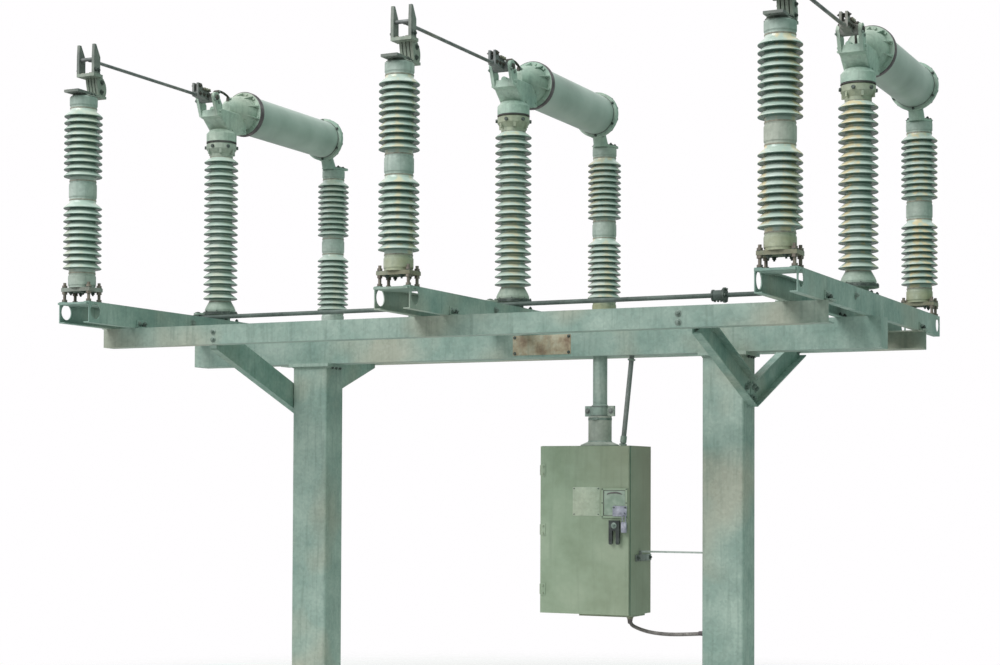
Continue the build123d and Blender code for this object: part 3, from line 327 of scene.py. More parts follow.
def bolt(build, place, normal, across, stud=0.0, spin=0.0, washer=True, finish=0):
    """A hexagon head or nut on a face, with its washer, and a threaded end if it has one.

    Its heights and radii are the usual shares of the width across its flats.
    """
    place = aimed(place, normal, spin)
    radius = across / 2 / cos(radians(30))
    rest = 0.12 * across if washer else 0.0
    top = rest + 0.62 * across
    if washer:
        rim = 1.02 * across
        turned(build, [(0, -0.0004), (rim, -0.0004), (rim, 0.7 * rest), (0.95 * rim, rest), (0, rest)],
               place, 16, finish=finish)
    turned(build, [(0, rest - 0.0004), (radius, rest - 0.0004), (radius, top - 0.07 * across),
                   (0.86 * radius, top), (0, top)], place, 6, finish=finish)
    if stud:
        core = 0.31 * across
        thread = [(0, top - 0.001), (core, top - 0.001)]
        turns = max(2, round(stud / 0.003))
        for i in range(turns):
            level = top + stud * (i + 0.5) / turns
            thread += [(core, level - 0.2 * stud / turns), (0.88 * core, level + 0.3 * stud / turns)]
        turned(build, thread + [(0, thread[-1][1])], place, 12, finish=finish)


def bar(build, points, radius, steps=8, finish=0):
    """A round bar, spring wire or weld bead along points; the radius is one value or one for each."""
    points = [Vector(point) for point in points]
    radii = radius if isinstance(radius, list) else [radius] * len(points)
    side = (points[1] - points[0]).orthogonal().normalized()
    rings = []
    for i, (point, size) in enumerate(zip(points, radii)):
        along = (points[min(i + 1, len(points) - 1)] - points[max(i - 1, 0)]).normalized()
        side = (side - along * side.dot(along)).normalized()
        up = along.cross(side)
        rings.append([build.verts.new(point + side * size * cos(tau * k / steps)
                                      + up * size * sin(tau * k / steps))
                      for k in range(steps)])
    faces = [build.faces.new(rings[0][::-1]), build.faces.new(rings[-1])]
    for low, high in zip(rings, rings[1:]):
        for k in range(steps):
            j = (k + 1) % steps
            faces.append(build.faces.new((low[k], low[j], high[j], high[k])))
    for face in faces:
        face.material_index = finish


# Patina from pale grey-green to a deeper green, matt; the braces' copy is darker, as painted shade.
# Fasteners were spun in thinner zinc: the sheltered ones stay a greyer, slightly brighter metal, the
# others have oxidised nearly black.
structure_zinc = weathered("patinated_zinc_structure", "#a2b5aa", "#8fa49a", "#7b958b", warmth=0.5)
girder_zinc = weathered("patinated_zinc_girder", "#9fb2a8", "#8ba298", "#789389", warmth=0.5)
# Painted shade: the braces' zinc is a darker copy of the same patina, for the shadow they lie in.
shaded_brace_zinc = weathered("patinated_zinc_braces_painted_shade", "#9ab0a5", "#809c91", "#688a7e")
fastener_zinc = plain_surface("spun_zinc_fasteners", "#9aa79f", "#7f8e86", "#65756d", 0.03, 0.5)
dark_fasteners = plain_surface("oxidised_fasteners", "#6f7772", "#525b56", "#3b4440", 0.02, 0.5)
finish_nodes(structure_zinc, "posts", "front_beam", "rear_beam")
finish_nodes(girder_zinc, "center_girder")
finish_nodes(shaded_brace_zinc, "knee_braces")
FRONT, UP, DOWN = (0, -1, 0), (0, 0, 1), (0, 0, -1)
POST_X, POST_HALF_X, POST_HALF_Y = 1.377, 0.125, 0.103

# Weld beads of the posts: hand-laid fillets between the tube and its foot and head plates, galvanised
# over, each with the small ripples of the pool.
draw = random.Random(7)
build = bmesh.new()
for side in (-1, 1):
    for level in (0.0265, 2.3435):
        outline = box_outline(POST_HALF_X + 0.001, POST_HALF_Y + 0.001)
        corners = [(side * POST_X + x, y) for x, y in outline]
        line, sizes = [], []
        for (x0, y0), (x1, y1) in zip(corners, corners[1:] + corners[:1]):
            ripples = round(hypot(x1 - x0, y1 - y0) / 0.004)
            for i in range(ripples):
                part = i / ripples
                line.append((x0 + (x1 - x0) * part, y0 + (y1 - y0) * part, level))
                sizes.append(0.0046 + 0.0007 * sin(i * 1.9) + draw.uniform(-0.0003, 0.0003))
        bar(build, line, sizes, 7)
new_piece("post_weld_beads", build, "frame", "galvanised_steel", structure_zinc, crease=60)

# Bolts of the head plates, clips and bolts of the knee braces, and the bolt pairs in the outer beams:
# galvanised hexagon bolts, their zinc gone grey and brown.
build = bmesh.new()
for side in (-1, 1):
    for edge in (-1, 1):
        for y in (-0.045, 0.0, 0.045):
            under = (side * POST_X + edge * 0.135, y, 2.3455)
            bolt(build, under, DOWN, 0.016, 0.006, washer=False, spin=y * 9)
new_piece("head_plate_bolts", build, "frame", "galvanised_steel", dark_fasteners)

# The brace's web: the X of its outer face, the height of its lower edge in the post's middle, and how
# much that edge climbs for each metre outwards.
BRACE_FACE, BRACE_FOOT, BRACE_CLIMB = 1.509, 2.050, 0.375
build = bmesh.new()
for side in (-1, 1):
    for end in (-1, 1):
        for y, rise, spin in ((0.040, 0.040, 1.24), (0.040, 0.110, 1.24), (0.083, 0.080, 2.573),
                              (0.902, 0.045, 1.8), (0.902, 0.105, 4.2)):
            at = (side * BRACE_FACE, end * y, BRACE_FOOT + BRACE_CLIMB * y + rise)
            bolt(build, at, (side, 0, 0), 0.024, 0.006, spin=spin)
        for height in (2.454, 2.500):
            bolt(build, (side * 1.462, end * 1.040, height), (0, end, 0), 0.018, 0.005, spin=height)
new_piece("brace_bolts", build, "frame", "galvanised_steel", fastener_zinc)
build = bmesh.new()
for side in (-1, 1):
    for end in (-1, 1):
        block(build, (side * 1.498, end * 0.90275, 2.47375), (0.008, 0.0695, 0.0925))
        block(build, (side * 1.470, end * 0.934, 2.47375), (0.064, 0.009, 0.0925))
        bolt(build, (side * 1.466, end * 0.9295, 2.474), (0, -end, 0), 0.024, 0.006)
new_piece("brace_clips", build, "frame", "galvanised_steel", shaded_brace_zinc)

# The bare plate on the girder's front: a thin steel sheet, once painted, gone beige and rusty, held by
# four screws. Nothing is written on it.
plate_sheet = weathered("rusty_bare_sheet", "#b3b19c", "#9f947c", "#7a6450", run=0.3, patch_size=0.07,
                        metallic=0.0)
build = bmesh.new()
face = aimed((0.229, -0.0748, 2.4385), FRONT)
plate(build, box_outline(0.1905, 0.0595, 0.006), 0.0, 0.0022, face, 0.0006)
for x in (0.052, 0.406):
    for z in (2.391, 2.486):
        bolt(build, (x, -0.0772, z), FRONT, 0.010, finish=1, spin=x)
new_piece("bare_girder_plate", build, "frame", "galvanised_steel", plate_sheet, dark_fasteners)

# Pole bases
# Two channels under each pole, bolted across the girder and the outer beams, with seat plates for the
# stacks. Angle clips hold them down; threaded rods with nuts level each stack.
POLES = (-2.134, 0.0, 2.134)
# The channels carry the same green-grey patina. The rods have lost their zinc and browned.
base_zinc = weathered("patinated_zinc_bases", "#a0b4aa", "#8ba399", "#76938a")
stud_zinc = weathered("browned_zinc_studs", "#8f877b", "#756d64", "#575049", run=0.0, patch_size=0.03)
finish_nodes(base_zinc, "pole_base_1", "pole_base_2", "pole_base_3")
finish_nodes(stud_zinc, "levelling_studs")
build = bmesh.new()
for pole_x in POLES:
    for side in (-1, 1):
        clip_x = pole_x + side * 0.129
        for y in (-0.989, 0.989):
            block(build, (clip_x, y, 2.5436), (0.040, 0.090, 0.0078))
            block(build, (pole_x + side * 0.1135, y, 2.56485), (0.007, 0.090, 0.0503), 0.0012)
            bolt(build, (clip_x, y, 2.5475), UP, 0.020, 0.010, finish=1, spin=y)
            for along in (-0.027, 0.027):
                at = (pole_x + side * 0.117, y + along, 2.568)
                bolt(build, at, (side, 0, 0), 0.016, 0.005, finish=2, spin=along)
        for y in (-0.060, 0.060):
            bolt(build, (pole_x + side * 0.090, y, 2.665), UP, 0.018, 0.006, finish=1, spin=y * 7)
            at = (pole_x + side * 0.090, y * 0.75, 2.5495)
            bolt(build, at, UP, 0.018, 0.006, finish=1, spin=y * 5)
        at = (pole_x + side * 0.110, -0.457, 2.617)
        bolt(build, at, (side, 0, 0), 0.022, 0.006, finish=2, spin=0.3)
new_piece("pole_base_fixings", build, "frame", "galvanised_steel", base_zinc, dark_fasteners,
          fastener_zinc)

# Seats of the stacks: washers and thread of the levelling studs between the two seat plates, and the
# bolts that hold the bottom cap from below.
STACK_Y = 1.415
build = bmesh.new()
for pole_x in POLES:
    for end in (-1, 1):
        for sx in (-1, 1):
            for sy in (-1, 1):
                stud = Matrix.Translation((pole_x + sx * 0.088, end * STACK_Y + sy * 0.048, 0))
                for low in (2.6652, 2.7482):
                    turned(build, [(0, low - 0.0004), (0.0168, low - 0.0004), (0.0168, low + 0.0022),
                                   (0.015, low + 0.003), (0, low + 0.003)], stud, 18)
                thread = []
                for i in range(13):
                    level = 2.6835 + 0.002 * i
                    thread += [(0.0086, level), (0.0072, level + 0.001)]
                turned(build, [(0, 2.6825), *thread, (0, 2.7095)], stud, 10)
        for sx in (-1, 1):
            for sy in (-1, 1):
                under = (pole_x + sx * 0.0449, end * STACK_Y + sy * 0.0449, 2.7262)
                bolt(build, under, DOWN, 0.019, 0.008, spin=0.4)
new_piece("stack_seat_fixings", build, "frame", "stud_steel", dark_fasteners)

# Insulator stacks
# Each stack is two porcelain units, fired in one piece with their ten sheds and dipped in a sky-grey
# glaze, set with cement into galvanised caps. The rotating column between them is one long unit.
STACK_ROOT, STACK_RIM, STACK_PITCH = 0.077, 0.1115, 0.0393
ROTOR_ROOT, ROTOR_RIM, ROTOR_PITCH = 0.072, 0.111, 0.0471
# Lower end, upper end and lowest shed of each unit.
STACK_UNITS = ((2.832, 3.268, 2.8643), (3.374, 3.810, 3.4063))
ROTOR_UNIT = (2.7901, 3.745, 2.8151)
# One shed from its underside round its rim to its roof: share of its depth, and height above its rim.
SHED_CURVE = [(0.00, -0.008), (0.05, -0.0035), (0.25, -0.0008), (0.62, -0.0016), (0.88, -0.0038),
              (0.97, -0.003), (1.00, 0.0000), (0.97, 0.0032), (0.82, 0.008), (0.52, 0.0175),
              (0.24, 0.0255), (0.08, 0.0295), (0.00, 0.0325)]


def glazed_porcelain(name, warmth):
    """Sky-grey glaze, glossy and cloudy: tan streaks run down it, as stains and as a painted warm
    reflection; dust dulls it; its undersides are painted dark, as painted shade.

    The clouds are 140 mm across, the tan streaks 60 mm wide and 900 mm long, the glaze's own waves 22 mm.
    """
    glaze, tree, surface, place, _, tone = cloudy_finish(
        name, (7.0, 4.0, 0.5), ((0.30, "#abbfb3"), (0.55, "#c2d0c6"), (0.75, "#d5ded6")), (0.14, 0.36),
        (45.0, 1.0, 0.06, 0.004), IOR=1.52)
    # Tan streaks: stains, and a painted warm reflection running down the columns.
    stains_and_warm_reflection = streaks(tree, place, 16.0, 1.1, 2.0)
    tone = tinted(tree, tone, stains_and_warm_reflection, 0.50, 0.62, warmth, "#dfcfa6")
    # Painted shade: faces that look down are blended towards a dark green.
    under = add_node(tree, "SeparateXYZ", {0: add_node(tree, "NewGeometry", out="Normal")}, "Z")
    tone = tinted(tree, tone, under, 0.05, -0.45, 0.88, "#3f6054")
    set_inputs(surface, {"Base Color": tone})
    return glaze


def shed_unit(build, place, low, high, lowest, count, pitch, root, rim):
    """One porcelain unit from its lower to its upper end, with its cement bands."""
    profile = [(0, low), (root, low)]
    for i in range(count):
        level = lowest + i * pitch
        profile += [(root + share * (rim - root), level + rise) for share, rise in SHED_CURVE]
    turned(build, profile + [(root, high), (0, high)], place, 72)
    for end, way in ((low, 1), (high, -1)):
        turned(build, [(root - 0.001, end), (root + 0.0022, end), (root + 0.0014, end + way * 0.006),
                       (root - 0.001, end + way * 0.008)], place, 48, loop=True, finish=1)


# Cement is matt and sandy. The cast caps are paler than the rolled steel. The carrier plates below the
# bottom caps have browned. On the last two poles the bottom caps are blended olive below 2.9 m, and
# the driving heads' castings olive above 3.7 m.
cement = weathered("portland_cement", "#b5b1a4", "#9c998c", "#7f7d72", run=0.0, patch_size=0.02,
                   grit=0.0015, metallic=0.0)
cap_zinc = weathered("patinated_zinc_castings", "#bac6be", "#a5b4ab", "#8a9f95",
                     bands=[("Z", 2.75, 2.748, "#5e5149")])
warm_zinc = weathered("olive_patinated_castings", "#bac6be", "#a5b4ab", "#8a9f95",
                      bands=[("Z", 2.90, 2.80, "#a49f6e"), ("Z", 2.75, 2.748, "#5e5149")])
column_zinc = weathered("patinated_zinc_column_castings", "#b4c0b4", "#9dac9f", "#83968b")
warm_column = weathered("olive_patinated_column_castings", "#b4c0b4", "#9dac9f", "#83968b",
                        bands=[("Z", 3.700, 3.740, "#a3a383")])
for pole, (pole_x, warmth) in enumerate(zip(POLES, (0.20, 0.60, 0.90)), start=1):
    glaze = glazed_porcelain(f"sky_grey_glaze_{pole}", warmth)
    build = bmesh.new()
    for y in (-STACK_Y, STACK_Y):
        for low, high, lowest in STACK_UNITS:
            shed_unit(build, Matrix.Translation((pole_x, y, 0)), low, high, lowest, 10, STACK_PITCH,
                      STACK_ROOT, STACK_RIM)
    sheds = new_piece(f"stack_sheds_{pole}", build, "frame", "glazed_porcelain", glaze, cement,
                      crease=60)
    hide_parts(f"stack_porcelain_{pole}")
    build = bmesh.new()
    shed_unit(build, Matrix.Translation((pole_x, 0, 0)), *ROTOR_UNIT, 20, ROTOR_PITCH, ROTOR_ROOT,
              ROTOR_RIM)
    sheds = new_piece(f"rotor_sheds_{pole}", build, f"rotor_{pole}", "glazed_porcelain", glaze, cement,
                      crease=60)
    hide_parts(f"rotor_porcelain_{pole}")
    finish_nodes(warm_zinc if pole > 1 else cap_zinc, f"stack_fittings_{pole}")
    finish_nodes(warm_column if pole > 1 else column_zinc, f"rotor_castings_{pole}")

# Fixings of the stacks: galvanised bolts that clamp the foot of each elbow and jaw to the top cap, gone
# dull and dark.
build = bmesh.new()
for pole_x in POLES:
    for x, y, height, across in ((0.0545, -1.390, 3.8893, 0.014), (0.0595, -1.428, 3.8893, 0.014),
                                 (0.06, 1.380, 3.891, 0.016), (0.064, 1.440, 3.891, 0.016)):
        for side in (-1, 1):
            bolt(build, (pole_x + side * x, y, height), UP, across, 0.004, spin=abs(y) * 9)
new_piece("stack_cap_fixings", build, "frame", "galvanised_iron", dark_fasteners)

# Fixings of the rotating columns: a dark clamp band round each foot casting with its draw bolt, nuts on
# the clamp, and bolts in the head ring.


def ring(build, inner, outer, low, high, place, steps=48, finish=0):
    """A plain band or collar between two radii and two heights on the place's Z axis."""
    turned(build, [(inner, low), (outer, low), (outer, high), (inner, high)], place, steps, True, finish)


def spokes(count, first):
    """The angles of a circle of bolts or ribs, in radians, from the first one's in degrees."""
    return [radians(first + 360 * i / count) for i in range(count)]


CLAMP_HEIGHT = 2.7138
for pole, pole_x in enumerate(POLES, start=1):
    build = bmesh.new()
    column = Matrix.Translation((pole_x, 0, 0))
    ring(build, 0.1115, 0.1138, 2.7056, 2.722, column, 64)
    turned(build, [(0.0985, 2.7228), (0.1012, 2.7228), (0.1006, 2.7285), (0.0985, 2.7285)], column, 64,
           loop=True)
    for way in (-1, 1):
        block(build, (pole_x - 0.123, way * 0.012, 2.71375), (0.022, 0.012, 0.0155), 0.0012)
    clamp_x = pole_x - 0.124
    for way, stud in ((-1, 0.0), (1, 0.006)):
        bolt(build, (clamp_x, way * 0.018, CLAMP_HEIGHT), (0, way, 0), 0.013, stud)
    bar(build, [(clamp_x, -0.017, CLAMP_HEIGHT), (clamp_x, 0.017, CLAMP_HEIGHT)], 0.004)
    for angle in spokes(8, 22.5):
        at = (pole_x + 0.1062 * cos(angle), 0.1062 * sin(angle), 2.7233)
        bolt(build, at, UP, 0.010, 0.003, washer=False, spin=angle)
    for angle in spokes(6, 30):
        at = (pole_x + 0.097 * cos(angle), 0.097 * sin(angle), 3.81)
        bolt(build, at, (cos(angle), sin(angle), 0), 0.020, washer=False)
    new_piece(f"rotor_fixings_{pole}", build, f"rotor_{pole}", "galvanised_iron", dark_fasteners)

# Interphase pipe
# A long galvanised pipe, pinned under the lever of each column and joined by a split coupling with set
# screws. Washers and split pins hold it on its pins. It is painted nearly black: painted shade for where
# it hangs, with grime.
pipe_zinc = weathered("patinated_zinc_pipe", "#a5b2a9", "#8fa198", "#788f85")
# Painted shade with grime: the interphase pipe's tones are nearly black.
shaded_grimy_pipe = weathered("shaded_grimy_zinc_pipe", "#6d7a74", "#535f5a", "#3e4a46", warmth=0.0)
finish_nodes(shaded_grimy_pipe, "interphase_pipe", "phase_coupling")
finish_nodes(base_zinc, "rotor_bearings")
COUPLING_X, LINK_Y, LINK_Z = 1.353, -0.1149, 2.6853
build = bmesh.new()
for pole_x in POLES:
    x = pole_x - 0.0964
    turned(build, [(0, 2.7166), (0.0175, 2.7166), (0.0175, 2.7182), (0.0165, 2.719), (0, 2.719)],
           Matrix.Translation((x, LINK_Y, 0)), 20)
    bar(build, [(x - 0.0155, LINK_Y - 0.004, 2.7215), (x + 0.0115, LINK_Y + 0.003, 2.7215)], 0.0016)
    bar(build, [(x + 0.011, LINK_Y + 0.0028, 2.7215), (x + 0.015, LINK_Y + 0.0075, 2.7222)], 0.0014)
for x in (COUPLING_X - 0.019, COUPLING_X, COUPLING_X + 0.019):
    for angle in (-90, 20):
        away = Vector((0, cos(radians(angle)), sin(radians(angle))))
        bolt(build, Vector((x, LINK_Y, LINK_Z)) + away * 0.0297, away, 0.013, washer=False)
coupling = aimed((COUPLING_X, LINK_Y, LINK_Z), (1, 0, 0))
for low in (-0.034, 0.024):
    ring(build, 0.0295, 0.0335, low, low + 0.010, coupling, 32)
turned(build, [(0.0135, 0.033), (0.042, 0.033), (0.044, 0.035), (0.044, 0.045), (0.042, 0.047),
               (0.0135, 0.047)], coupling, 32, loop=True)
for angle in spokes(4, 0):
    at = (COUPLING_X + 0.047, LINK_Y + 0.034 * cos(angle), LINK_Z + 0.034 * sin(angle))
    bolt(build, at, (1, 0, 0), 0.013, 0.004, washer=False)
new_piece("interphase_pins_and_screws", build, "interphase_pipe", "galvanised_steel", dark_fasteners)

# Hinge housings
# Sand-cast aluminium housings, matt and pitted with age, that turn the column's motion into the lift of
# the blade. The ribbed bell is bolted to the interrupter. A dark rubber band over the joint stands for
# the shadow at the flange's rim: painted shade.
cast_aluminium = weathered("weathered_cast_aluminium", "#bccdc0", "#a2b9ab", "#87a196", grit=0.0022)
# Rubber has gone grey and dull. Linkage steel has browned, and copper's tin is a warm, satin grey.
seal_rubber = plain_surface("aged_rubber_seal", "#7a7073", "#5d5558", "#443f41", 0.05)
linkage_dark = plain_surface("browned_linkage_steel", "#66645b", "#4b4943", "#343330", 0.02, 0.4)
tinned_copper = weathered("tinned_contact_copper", "#b9b7a8", "#9b9887", "#75725f", run=0.0,
                          patch_size=0.02, metallic=0.6)
HINGE = (-0.160, 4.110)
BELL_AXIS = 4.080
for pole, pole_x in enumerate(POLES, start=1):
    finish_nodes(cast_aluminium, f"hinge_housing_{pole}", f"interrupter_ends_{pole}")
    build = bmesh.new()
    for side in (-1, 1):
        for y, height in ((-0.128, 4.005), (-0.128, 4.026), (0.150, 3.945), (0.150, 4.010),
                          (0.010, 3.925)):
            bolt(build, (pole_x + side * 0.0757, y, height), (side, 0, 0), 0.013, washer=False)
    bell = Matrix.Translation((pole_x, 0, BELL_AXIS))
    for angle in spokes(10, 18):
        outward, around = (cos(angle), 0, sin(angle)), (-sin(angle), 0, cos(angle))
        # The case hides the ribs that would stand below the bell.
        if outward[2] > -0.7:
            rib = bell @ Matrix((outward, (0, 1, 0), around)).transposed().to_4x4()
            plate(build, [(0.098, 0.150), (0.110, 0.2405), (0.1395, 0.2405), (0.1385, 0.232),
                          (0.112, 0.170)], -0.004, 0.004, rib, 0.0015)
    for angle in spokes(12, 15):
        for radius, y, way, across, stud, finish in ((0.1375, 0.282, 1, 0.013, 0.004, 1),
                                                     (0.13, 0.240, -1, 0.014, 0.0, 0)):
            at = (pole_x + radius * cos(angle), y, BELL_AXIS + radius * sin(angle))
            bolt(build, at, (0, way, 0), across, stud, washer=False, finish=finish)
    ring(build, 0.0855, 0.099, 3.8388, 3.842, Matrix.Translation((pole_x, 0, 0)), finish=2)
    # Painted shade: a dark rubber band over the flange's rim, standing for its shadow.
    turned(build, [(0.143, 0.243), (0.148, 0.244), (0.1494, 0.248), (0.1494, 0.277), (0.1485, 0.281),
                   (0.143, 0.2815)], aimed((pole_x, 0, BELL_AXIS), (0, 1, 0)), 72, loop=True, finish=2)
    new_piece(f"housing_ribs_and_shadow_band_{pole}", build, "frame", "cast_aluminium", cast_aluminium,
              dark_fasteners, seal_rubber)

# Hinge fittings: the heads of the hinge pin, and the stop link that the blade's lugs swing towards: a
# dark bent bar from the bell to a rubber buffer, propped on the case.
for pole, pole_x in enumerate(POLES, start=1):
    build = bmesh.new()
    for side in (-1, 1):
        turned(build, [(0, 0), (0.0185, 0), (0.0185, 0.003), (0.0165, 0.007), (0.006, 0.0085),
                       (0, 0.0085)],
               aimed((pole_x + side * 0.0718, *HINGE), (side, 0, 0)), 24)
        for y, height in ((-0.184, 4.092), (-0.138, 4.082)):
            bolt(build, (pole_x + side * 0.0715, y, height), (side, 0, 0), 0.012, finish=1)
        inner = (pole_x + side * 0.052, -0.1455, 4.126)
        bolt(build, inner, (-side, 0, 0), 0.010, washer=False, finish=1)
    bar(build, [(pole_x, -0.062, 4.168), (pole_x, -0.045, 4.176), (pole_x, -0.015, 4.180),
                (pole_x, 0.020, 4.177), (pole_x, 0.055, 4.168), (pole_x, 0.090, 4.152)],
        [0.007, 0.0085, 0.0085, 0.008, 0.008, 0.007], 12)
    turned(build, [(0, -0.021), (0.0105, -0.020), (0.0125, -0.016), (0.0125, 0.016), (0.0105, 0.020),
                   (0, 0.021)], aimed((pole_x, -0.058, 4.170), (1, 0, 0)), 24)
    bar(build, [(pole_x, -0.040, 4.040), (pole_x, -0.052, 4.110), (pole_x, -0.058, 4.166)],
        [0.0085, 0.0065, 0.006], 10)
    turned(build, [(0, -0.004), (0.019, -0.004), (0.019, 0.004), (0.012, 0.010), (0, 0.010)],
           Matrix.Translation((pole_x, -0.040, 4.046)), 20)
    block(build, (pole_x, 0.080, 4.135), (0.020, 0.036, 0.046), 0.002)
    for side in (-1, 1):
        bolt(build, (pole_x + side * 0.0098, 0.080, 4.146), (side, 0, 0), 0.012, finish=1)
        buffer = (pole_x + side * 0.0205, -0.058, 4.170)
        bolt(build, buffer, (side, 0, 0), 0.012, washer=False, finish=1)
    new_piece(f"hinge_fittings_{pole}", build, "frame", "cast_aluminium", linkage_dark, fastener_zinc)

# Blades
# A drawn aluminium tube in a cast root with two lugs, its skin darkened outdoors. Contact fingers of
# tinned copper are bolted to the root, and a bead of weld holds the contact bar at the tip.


def coil(build, start, radius, along, turns, steps, wire, finish=0):
    """A coil spring about a line along Y or Z from its start, wound in a number of turns."""
    count = turns * steps
    points = []
    for i in range(count + 1):
        across, up = radius * cos(tau * i / steps), radius * sin(tau * i / steps)
        x, y, z = (place + length * i / count for place, length in zip(start, along))
        points.append((x + across, y, z + up) if along[1] else (x + across, y + up, z))
    bar(build, points, wire, 6, finish)


drawn_tube = weathered("weathered_drawn_tube", "#8e9190", "#777b7a", "#5f6463", run=0.0, patch_size=0.08,
                       metallic=0.4)
for pole, pole_x in enumerate(POLES, start=1):
    finish_nodes(drawn_tube, f"blade_{pole}")
    build = bmesh.new()
    for side in (-1, 1):
        for y, height, stud in ((-0.196, 4.118, 0.003), (-0.236, 4.118, 0.003), (-0.276, 4.118, 0.003),
                                (-0.280, 4.170, 0.006)):
            bolt(build, (pole_x + side * 0.0238, y, height), (side, 0, 0), 0.014, stud, finish=1)
        finger_x = pole_x + side * 0.0310
        for y in (-0.190, -0.214, -0.238):
            block(build, (finger_x, y, 4.156), (0.014, 0.018, 0.012), 0.002)
        block(build, (finger_x, -0.214, 4.1485), (0.012, 0.076, 0.009), 0.002, finish=1)
    coil(build, (pole_x, -0.292, 4.168), 0.008, (0, 0.070, 0), 8, 12, 0.0019, finish=1)
    tube = aimed((pole_x, 0, HINGE[1]), FRONT)
    for bead in ([(0.0095, 0.300), (0.0155, 0.301), (0.015, 0.306), (0.011, 0.316), (0.0095, 0.316)],
                 [(0.0095, 1.352), (0.011, 1.354), (0.0125, 1.365), (0.012, 1.370), (0.0095, 1.370)]):
        turned(build, bead, tube, 24, loop=True, finish=2)
    new_piece(f"blade_fittings_{pole}", build, f"blade_{pole}", "blade_aluminium", tinned_copper,
              linkage_dark, drawn_tube)

# Interrupters
# A smooth grey-green shell, wound from glass fibre and painted, between two bolted end castings. Rain
# has left it satin, with a dark joint at each end. Its top is painted paler, as a painted highlight.
# The paint lies in clouds of 300 mm. Its orange peel has waves of 8 mm: real ones of 2 mm wouldn't show.
shell_paint, tree, surface, _, _, tone = cloudy_finish(
    "satin_painted_shell", (3.2, 4.0, 0.5), ((0.30, "#8c9f94"), (0.52, "#a1b2a8"), (0.72, "#b2c0b7")),
    (0.34, 0.52), (120.0, 1.0, 0.08, 0.002), IOR=1.50)
# Painted highlight: faces that look up are blended towards a pale grey.
painted_top_highlight = add_node(tree, "SeparateXYZ", {0: add_node(tree, "NewGeometry", out="Normal")}, "Z")
tone = tinted(tree, tone, painted_top_highlight, 0.55, 1.0, 0.55, "#c9cfcb")
set_inputs(surface, {"Base Color": tone})
for pole, pole_x in enumerate(POLES, start=1):
    finish_nodes(shell_paint, f"interrupter_tube_{pole}")
    build = bmesh.new()
    axis = aimed((pole_x, 0, BELL_AXIS), (0, 1, 0))
    for y in (0.2825, 1.2575):
        ring(build, 0.129, 0.1322, y, y + 0.004, axis, 72, finish=1)
    for angle in spokes(6, 30):
        at = (pole_x + 0.14 * cos(angle), 1.262, BELL_AXIS + 0.14 * sin(angle))
        bolt(build, at, FRONT, 0.015, 0.004, washer=False)
    for angle in spokes(12, 15):
        at = (pole_x + 0.134 * cos(angle), 1.296, BELL_AXIS + 0.134 * sin(angle))
        bolt(build, at, (0, 1, 0), 0.018)
    new_piece(f"interrupter_fixings_{pole}", build, "frame", "cast_aluminium", dark_fasteners,
              seal_rubber)

# Jaws
# Cast aluminium jaws: bolts clamp the four leaves of each arm and hold the horns, and springs press
# tinned fingers towards the contact bar. The horns and the terminal pads have gone a darker grey.
jaw_aluminium = weathered("weathered_jaw_aluminium", "#a3ab9f", "#8b9589", "#737f76", grit=0.0022,
                          bands=[("Z", 4.023, 4.024, "#5d5c5f"), ("Y", -1.43, -1.49, "#5d5c5f")])
finish_nodes(jaw_aluminium, "jaw_1", "jaw_2", "jaw_3")
build = bmesh.new()
for pole_x in POLES:
    for y, height in ((-1.302, 3.928), (-1.300, 3.985)):
        bar(build, [(pole_x - 0.048, y, height), (pole_x + 0.048, y, height)], 0.0055)
        for side in (-1, 1):
            bolt(build, (pole_x + side * 0.0408, y, height), (side, 0, 0), 0.016, 0.003)
    for side in (-1, 1):
        for y in (-1.388, -1.362):
            bolt(build, (pole_x + side * 0.0638, y, 4.046), (side, 0, 0), 0.014)
        bolt(build, (pole_x + side * 0.053, -1.3475, 4.0238), UP, 0.013, 0.003)
        block(build, (pole_x + side * 0.030, -1.373, 4.027), (0.022, 0.042, 0.007), 0.002, finish=1)
        coil(build, (pole_x + side * 0.022, -1.3325, 4.024), 0.0065, (0, 0, 0.0185), 5, 10, 0.0016)
new_piece("jaw_fixings", build, "frame", "cast_aluminium", dark_fasteners, tinned_copper)

# Operating pipe, conduit and strap
# A galvanised pipe turned by the operator, gripped by a two-eared coupling with its bolts. The sheet
# sleeve below it is drawn tight with a band clamp. The conduit is grimy, the thin strap pale.
conduit_zinc = weathered("dirty_zinc_conduit", "#8e9491", "#777d7a", "#606663", warmth=0.0)
strap_zinc = weathered("pale_zinc_strap", "#c9d0cb", "#b4bdb8", "#9aa59f", warmth=0.0,
                       bands=[("X", 0.85, 0.844, "#3d3a36")])
finish_nodes(pipe_zinc, "operating_pipe")
finish_nodes(conduit_zinc, "conduit")
finish_nodes(strap_zinc, "cabinet_strap")
PIPE_X = 0.577
pipe_axis = Matrix.Translation((PIPE_X, 0, 0))
build = bmesh.new()
for side in (-1, 1):
    for way, stud in ((-1, 0.0), (1, 0.006)):
        at = (PIPE_X + side * 0.075, way * 0.012, 2.041)
        bolt(build, at, (0, way, 0), 0.016, stud, spin=side)
for level in (2.0103, 2.066):
    turned(build, [(0.05, level), (0.056, level + 0.0006), (0.056, level + 0.0046),
                   (0.05, level + 0.0052)], pipe_axis, 40, loop=True)
turned(build, [(0.042, 2.0705), (0.05, 2.0705), (0.048, 2.0745), (0.042, 2.08)], pipe_axis, 40,
       loop=True, finish=1)
new_piece("pipe_coupling_fittings", build, "operating_pipe", "galvanised_steel", conduit_zinc, pipe_zinc)
build = bmesh.new()
ring(build, 0.0685, 0.0705, 1.986, 2.000, pipe_axis)
block(build, (PIPE_X, -0.07475, 1.993), (0.028, 0.0105, 0.016))
bolt(build, (PIPE_X + 0.014, -0.0755, 1.993), (1, 0, 0), 0.008, washer=False)
